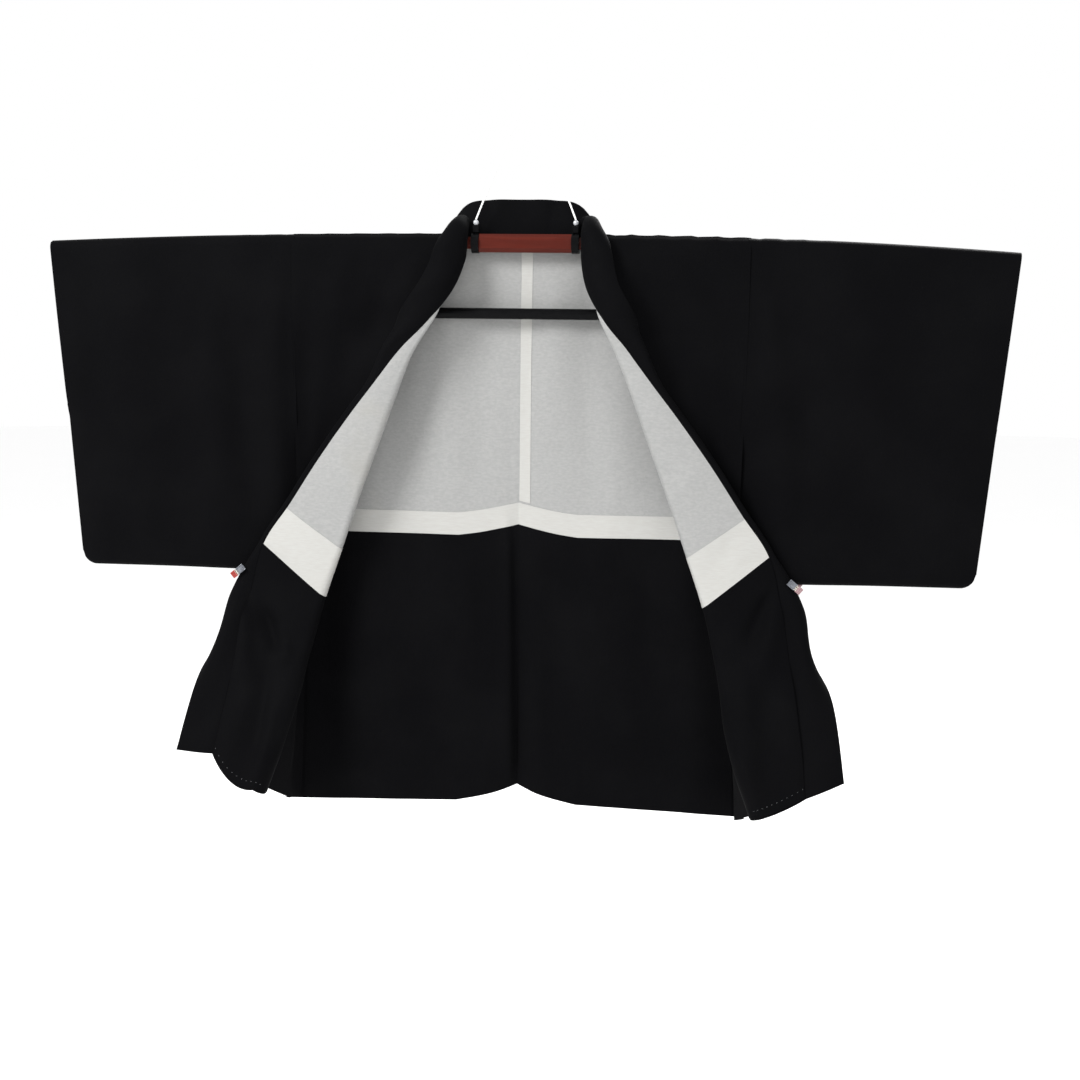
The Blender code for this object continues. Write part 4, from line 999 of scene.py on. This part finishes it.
def brown_material():
    """Red-brown lacquered tube with a fine drawn grain."""
    base, darker = (0.074, 0.0100, 0.0052), (0.056, 0.0075, 0.0042)
    paint = Paint("brown_plastic", base, 0.33, Specular_IOR_Level=0.10)
    streak = paint.noise(160, 3, paint.stretched(0.06, 1, 1))
    paint.colour(paint.blend(paint.remap(streak, 0.35, 0.7), darker, base))
    paint.rough(paint.remap(paint.noise(90, 2), 0.2, 0.8, 0.28, 0.42))
    paint.bump(streak, 0.15, 0.0003)
    return paint.material


# Plain parts: two colours that mottle, the roughness, and other values of the shader.
Plastic = namedtuple("Plastic", "base second roughness sockets", defaults=[{}])
PLASTICS = {
    "black_plastic": Plastic(
        (0.0020, 0.0020, 0.0023), (0.0030, 0.0030, 0.0034), 0.24, {"Specular_IOR_Level": 0.05}
    ),
    "knob_plastic": Plastic((0.34, 0.35, 0.37), (0.42, 0.43, 0.45), 0.25),
    "white_wire": Plastic((0.80, 0.80, 0.79), (0.86, 0.86, 0.85), 0.35),
    "clear_plastic": Plastic((0.085, 0.090, 0.105), (0.14, 0.15, 0.17), 0.15),
    "red_plastic": Plastic((0.26, 0.022, 0.016), (0.33, 0.040, 0.028), 0.30),
    "pink_plastic": Plastic((0.26, 0.155, 0.165), (0.31, 0.20, 0.21), 0.30),
    "spring_metal": Plastic((0.42, 0.38, 0.32), (0.50, 0.47, 0.42), 0.25, {"Metallic": 0.8}),
}


def plastic_material(name, base, second, roughness, sockets):
    """Moulded plastic, coated wire or metal with slight unevenness."""
    paint = Paint(name, base, roughness, **sockets)
    mottle = paint.noise(140, 3)
    paint.colour(paint.blend(paint.remap(mottle, 0.3, 0.7), base, second))
    paint.rough(paint.remap(mottle, 0.25, 0.75, roughness * 0.85, roughness * 1.15))
    paint.bump(mottle, 0.12, 0.0003)
    return paint.material


def thread_material():
    paint = Paint("stitch_thread", (0.16, 0.16, 0.17), 0.6)
    twist = paint.wave(900, "DIAGONAL", 0.5)
    paint.colour(paint.blend(twist, (0.12, 0.12, 0.13), (0.19, 0.19, 0.20)))
    paint.bump(twist, 0.3, 0.0001)
    return paint.material


# ---------------- hanger and clips


def rod(bm, path, radius, sides):
    """A round rod along a path of points, added to bm."""
    path = [Vector(point) for point in path]
    rings = []
    for i, point in enumerate(path):
        tangent = (path[min(i + 1, len(path) - 1)] - path[max(i - 1, 0)]).normalized()
        across = tangent.cross(Vector((0, 1, 0))).normalized()
        if across.length < 0.5:
            across = Vector((1, 0, 0))
        up = across.cross(tangent)
        ring = []
        for k in range(sides):
            angle = 2 * math.pi * k / sides
            ring.append(bm.verts.new(point + (across * math.cos(angle) + up * math.sin(angle)) * radius))
        rings.append(ring)
    for a, b in zip(rings, rings[1:]):
        for k in range(sides):
            bm.faces.new([a[k], a[(k + 1) % sides], b[(k + 1) % sides], b[k]])
    bm.faces.new(rings[0])
    bm.faces.new(rings[-1])
    bmesh.ops.recalc_face_normals(bm, faces=bm.faces)


def block(bm, size, centre, matrix, bevel):
    """A rounded block, placed by matrix."""
    made = bmesh.ops.create_cube(bm, size=1)["verts"]
    move = matrix @ Matrix.Translation(Vector(centre)) @ Matrix.Diagonal((*size, 1))
    bmesh.ops.transform(bm, matrix=move, verts=made)
    edges = {edge for vert in made for edge in vert.link_edges}
    bmesh.ops.bevel(bm, geom=list(edges), offset=bevel, segments=2, affect="EDGES", profile=0.5)


# Wires, in metres. The bail runs from the rings on the pole up to a bend under the hook.
RING_X = 0.0683
BAIL_FOOT_Z = -0.2134
BAIL_TOP_Z = -0.052
BAIL_RADIUS = 0.0012
BAIL_BEND_X, BAIL_BEND_Z = 0.012, 0.016
HOOK_WIRE_RADIUS = 0.0019
HOOK_RADIUS = 0.021


def hanger_wires(material):
    """The bail over the pole and the hook above it, in white-coated wire."""
    low = BAIL_TOP_Z - BAIL_BEND_Z
    bm = bmesh.new()
    path = [(-RING_X, 0, BAIL_FOOT_Z), (-BAIL_BEND_X, 0, low)]
    for angle in np.linspace(-1.2, 1.2, 13):
        path.append((BAIL_BEND_X * math.sin(angle), 0, BAIL_TOP_Z - BAIL_BEND_Z * (1 - math.cos(angle))))
    path += [(BAIL_BEND_X, 0, low), (RING_X, 0, BAIL_FOOT_Z)]
    rod(bm, path, BAIL_RADIUS, 12)
    dress(finish("wire_bail", bm), material, "white_wire", "hanger_bail")
    bm = bmesh.new()
    path = [(0, 0, BAIL_TOP_Z + BAIL_RADIUS + HOOK_WIRE_RADIUS)]
    for angle in np.linspace(-90, 200, 59):
        turn = math.radians(angle)
        z = HOOK_WIRE_RADIUS - HOOK_RADIUS + HOOK_RADIUS * math.sin(turn)
        path.append((HOOK_RADIUS * math.cos(turn), 0, z))
    rod(bm, path, HOOK_WIRE_RADIUS, 16)
    dress(finish("wire_hook", bm), material, "white_wire", "hanger_hook")


# Clips, in metres: each block's size, then its place along the clip, out from the middle
# of its half and across it.
CLIP_TURN = 40
CLIP_Z = -0.6945
CLIP_HALVES = (("front", -0.04125, -1), ("back", 0.00345, 1))
Block = namedtuple("Block", "size along out across bevel")
CLIP_BLOCKS = {
    "jaw": [
        Block((0.0115, 0.0020, 0.0080), -0.0048, 0, 0, 0.0006),
        *(Block((0.0120, 0.0030, 0.0011), -0.0047, 0.0003, edge, 0.0004) for edge in (-0.0040, 0.0040)),
        *(Block((0.0010, 0.0010, 0.0066), -0.0098 + 0.0022 * rib, 0.0012, 0, 0.0003) for rib in range(3)),
    ],
    "spring": [
        Block((0.0036, 0.0014, 0.0018), 0.0020, 0.0014, band, 0.0005) for band in (-0.0026, 0, 0.0026)
    ],
    "grip": [
        Block((0.0078, 0.0024, 0.0092), 0.0065, 0, 0, 0.0006),
        *(Block((0.0009, 0.0009, 0.0080), 0.0058 + 0.0018 * rib, 0.0014, 0, 0.0003) for rib in range(3)),
    ],
}


def clip(side, paints):
    """A small sprung clothes clip: clear jaws, a bright spring across them, a tinted grip."""
    centre = Vector((SIDES[side] * CLIP_X * CM + GARMENT_SHIFT, 0, CLIP_Z))
    turn = Matrix.Translation(centre) @ Matrix.Rotation(math.radians(CLIP_TURN) * SIDES[side], 4, "Y")
    turn = turn @ Matrix.Scale(SIDES[side], 4, (1, 0, 0))
    grip = "red_plastic" if side == "left" else "pink_plastic"
    materials = {"jaw": "clear_plastic", "spring": "spring_metal", "grip": grip}
    for place, y, sign in CLIP_HALVES:
        for kind, blocks in CLIP_BLOCKS.items():
            bm = bmesh.new()
            for size, along, out, across, bevel in blocks:
                block(bm, size, (along, y + sign * out, across), turn, bevel)
            nodes = [f"clip_{place}_{side}"] if kind == "jaw" else []
            dress(finish(f"clip_{kind}_{place}_{side}", bm), paints[materials[kind]], "clip_plastic", *nodes)


# ---------------- stitches


HEM_STITCH_ROW = 12.9
STITCH_LENGTH = 0.0014
STITCH_RADIUS = 0.00018


def hem_stitches(body, material):
    """The small light stitches above the front hem, each a short thread on the turned-back facing."""
    side = body.side
    us = runs((HEM_STITCH_ROW - 0.1, HEM_STITCH_ROW, 2))
    points, normals = body.front_grid(us, runs((0.12, 2.5, 11)))
    inside_face = points[-1] - normals[-1] * (LINING_OFFSET + LINING / 2 + 0.01)
    places = [Vector(place) for place in world_grid(inside_face, side)]
    bm = bmesh.new()
    for place, after, normal in zip(places, places[1:], normals[-1]):
        run = (after - place).normalized() * STITCH_LENGTH / 2
        up = Vector(-normal * (SIDES[side], 1, 1)).normalized() * STITCH_RADIUS
        rod(bm, [place - run - up, place + up, place + run - up], STITCH_RADIUS, 5)
    dress(finish(f"hem_stitches_{side}", bm), material, "crepe")


# ---------------- stage


FLOOR_Z = -1.45
FLOOR_RADIUS = 14
WORLD_LIGHT = 1
LIGHT_AIM = Vector((0, 0, -0.62))
Light = namedtuple("Light", "name place size power")
LIGHTS = [
    ("key", (-1.9, -2.5, 1.5), 1.5, 140),
    ("fill", (2.2, -2.4, 0.2), 2, 20),
    ("rim", (0.9, 2.6, 1.5), 1.8, 110),
]
EYE = (0.325, -2.48, -0.322)
LENS = 61.5
EYE_TURN, EYE_ROLL = math.radians(7), 0.0105


def stage():
    """A pale floor far under the garment, white surroundings and soft lights."""
    bm = bmesh.new()
    bmesh.ops.create_circle(bm, cap_ends=True, segments=96, radius=FLOOR_RADIUS)
    bmesh.ops.translate(bm, verts=bm.verts, vec=(0, 0, FLOOR_Z))
    floor = finish("floor", bm)
    paint = Paint("floor_paint", (0.93, 0.93, 0.93), 0.9, Specular_IOR_Level=0.1)
    paint.colour(paint.blend(paint.noise(3, 2), (0.965, 0.965, 0.965), (0.975, 0.975, 0.975)))
    floor.data.materials.append(paint.material)
    world = bpy.data.worlds.new("studio")
    world.use_nodes = True
    world.node_tree.nodes["Background"].inputs["Color"].default_value = (1, 1, 1, 1)
    world.node_tree.nodes["Background"].inputs["Strength"].default_value = WORLD_LIGHT
    bpy.context.scene.world = world
    for name, place, size, power in LIGHTS:
        data = bpy.data.lights.new(name, "AREA")
        data.shape = "DISK"
        data.size = size
        data.energy = power
        light = added(name, data)
        light.location = place
        light.rotation_euler = (LIGHT_AIM - light.location).to_track_quat("-Z", "Y").to_euler()
    bpy.context.scene.view_settings.view_transform = "Standard"


def camera():
    """A level view from a little to the right, turned towards the garment."""
    data = bpy.data.cameras.new("camera")
    data.lens, data.sensor_width = LENS, 36
    data.shift_y = -0.2222
    eye = added("camera", data)
    turn = Matrix.Rotation(EYE_TURN, 4, "Z") @ Matrix.Rotation(math.radians(90), 4, "X")
    eye.matrix_world = Matrix.Translation(EYE) @ turn @ Matrix.Rotation(EYE_ROLL, 4, "Z")
    bpy.context.scene.camera = eye


def carried_over(paints):
    """Better materials for the CAD nodes that stay, and softer edges on the pole."""
    looks = {"hanger_pole": "brown_plastic", "sash_bar": "black_plastic"}
    for side in SIDES:
        looks[f"hanger_arm_{side}"] = "brown_plastic"
        looks[f"hanger_knob_{side}"] = "knob_plastic"
        for name in ("hanger_ring", "hanger_bracket", "sash_bar_link"):
            looks[f"{name}_{side}"] = "black_plastic"
    for name, paint in looks.items():
        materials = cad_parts[name].data.materials
        materials.clear()
        materials.append(paints[paint])
    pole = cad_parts["hanger_pole"]
    soften = pole.modifiers.new("soft edges", "BEVEL")
    soften.width, soften.segments = 0.0009, 3
    pole.data.shade_smooth()


def main():
    for thing in [thing for thing in bpy.data.objects if thing.type in ("CAMERA", "LIGHT")]:
        bpy.data.objects.remove(thing)
    paints = {
        "crepe": crepe_material("crepe", (0.0019, 0.0019, 0.0023)),
        "crepe_facing": crepe_material("crepe_facing", (0.0018, 0.0018, 0.0022)),
        "silk_lining": lining_material(),
        "cream_band": cream_material(),
        "brown_plastic": brown_material(),
        "stitch_thread": thread_material(),
    }
    for name, row in PLASTICS.items():
        paints[name] = plastic_material(name, *row)
    bodies = {side: BodySide(side) for side in SIDES}
    for side, body in bodies.items():
        body_panel(body, paints["crepe"])
        inside(body, paints)
        gusset(body, paints["crepe"])
        sleeve(body, paints["crepe"])
        clip(side, paints)
        hem_stitches(body, paints["stitch_thread"])
    centre_allowance(bodies["right"], paints["cream_band"])
    collar_band(bodies, paints["crepe"])
    hanger_wires(paints["white_wire"])
    carried_over(paints)
    stage()
    camera()


main()
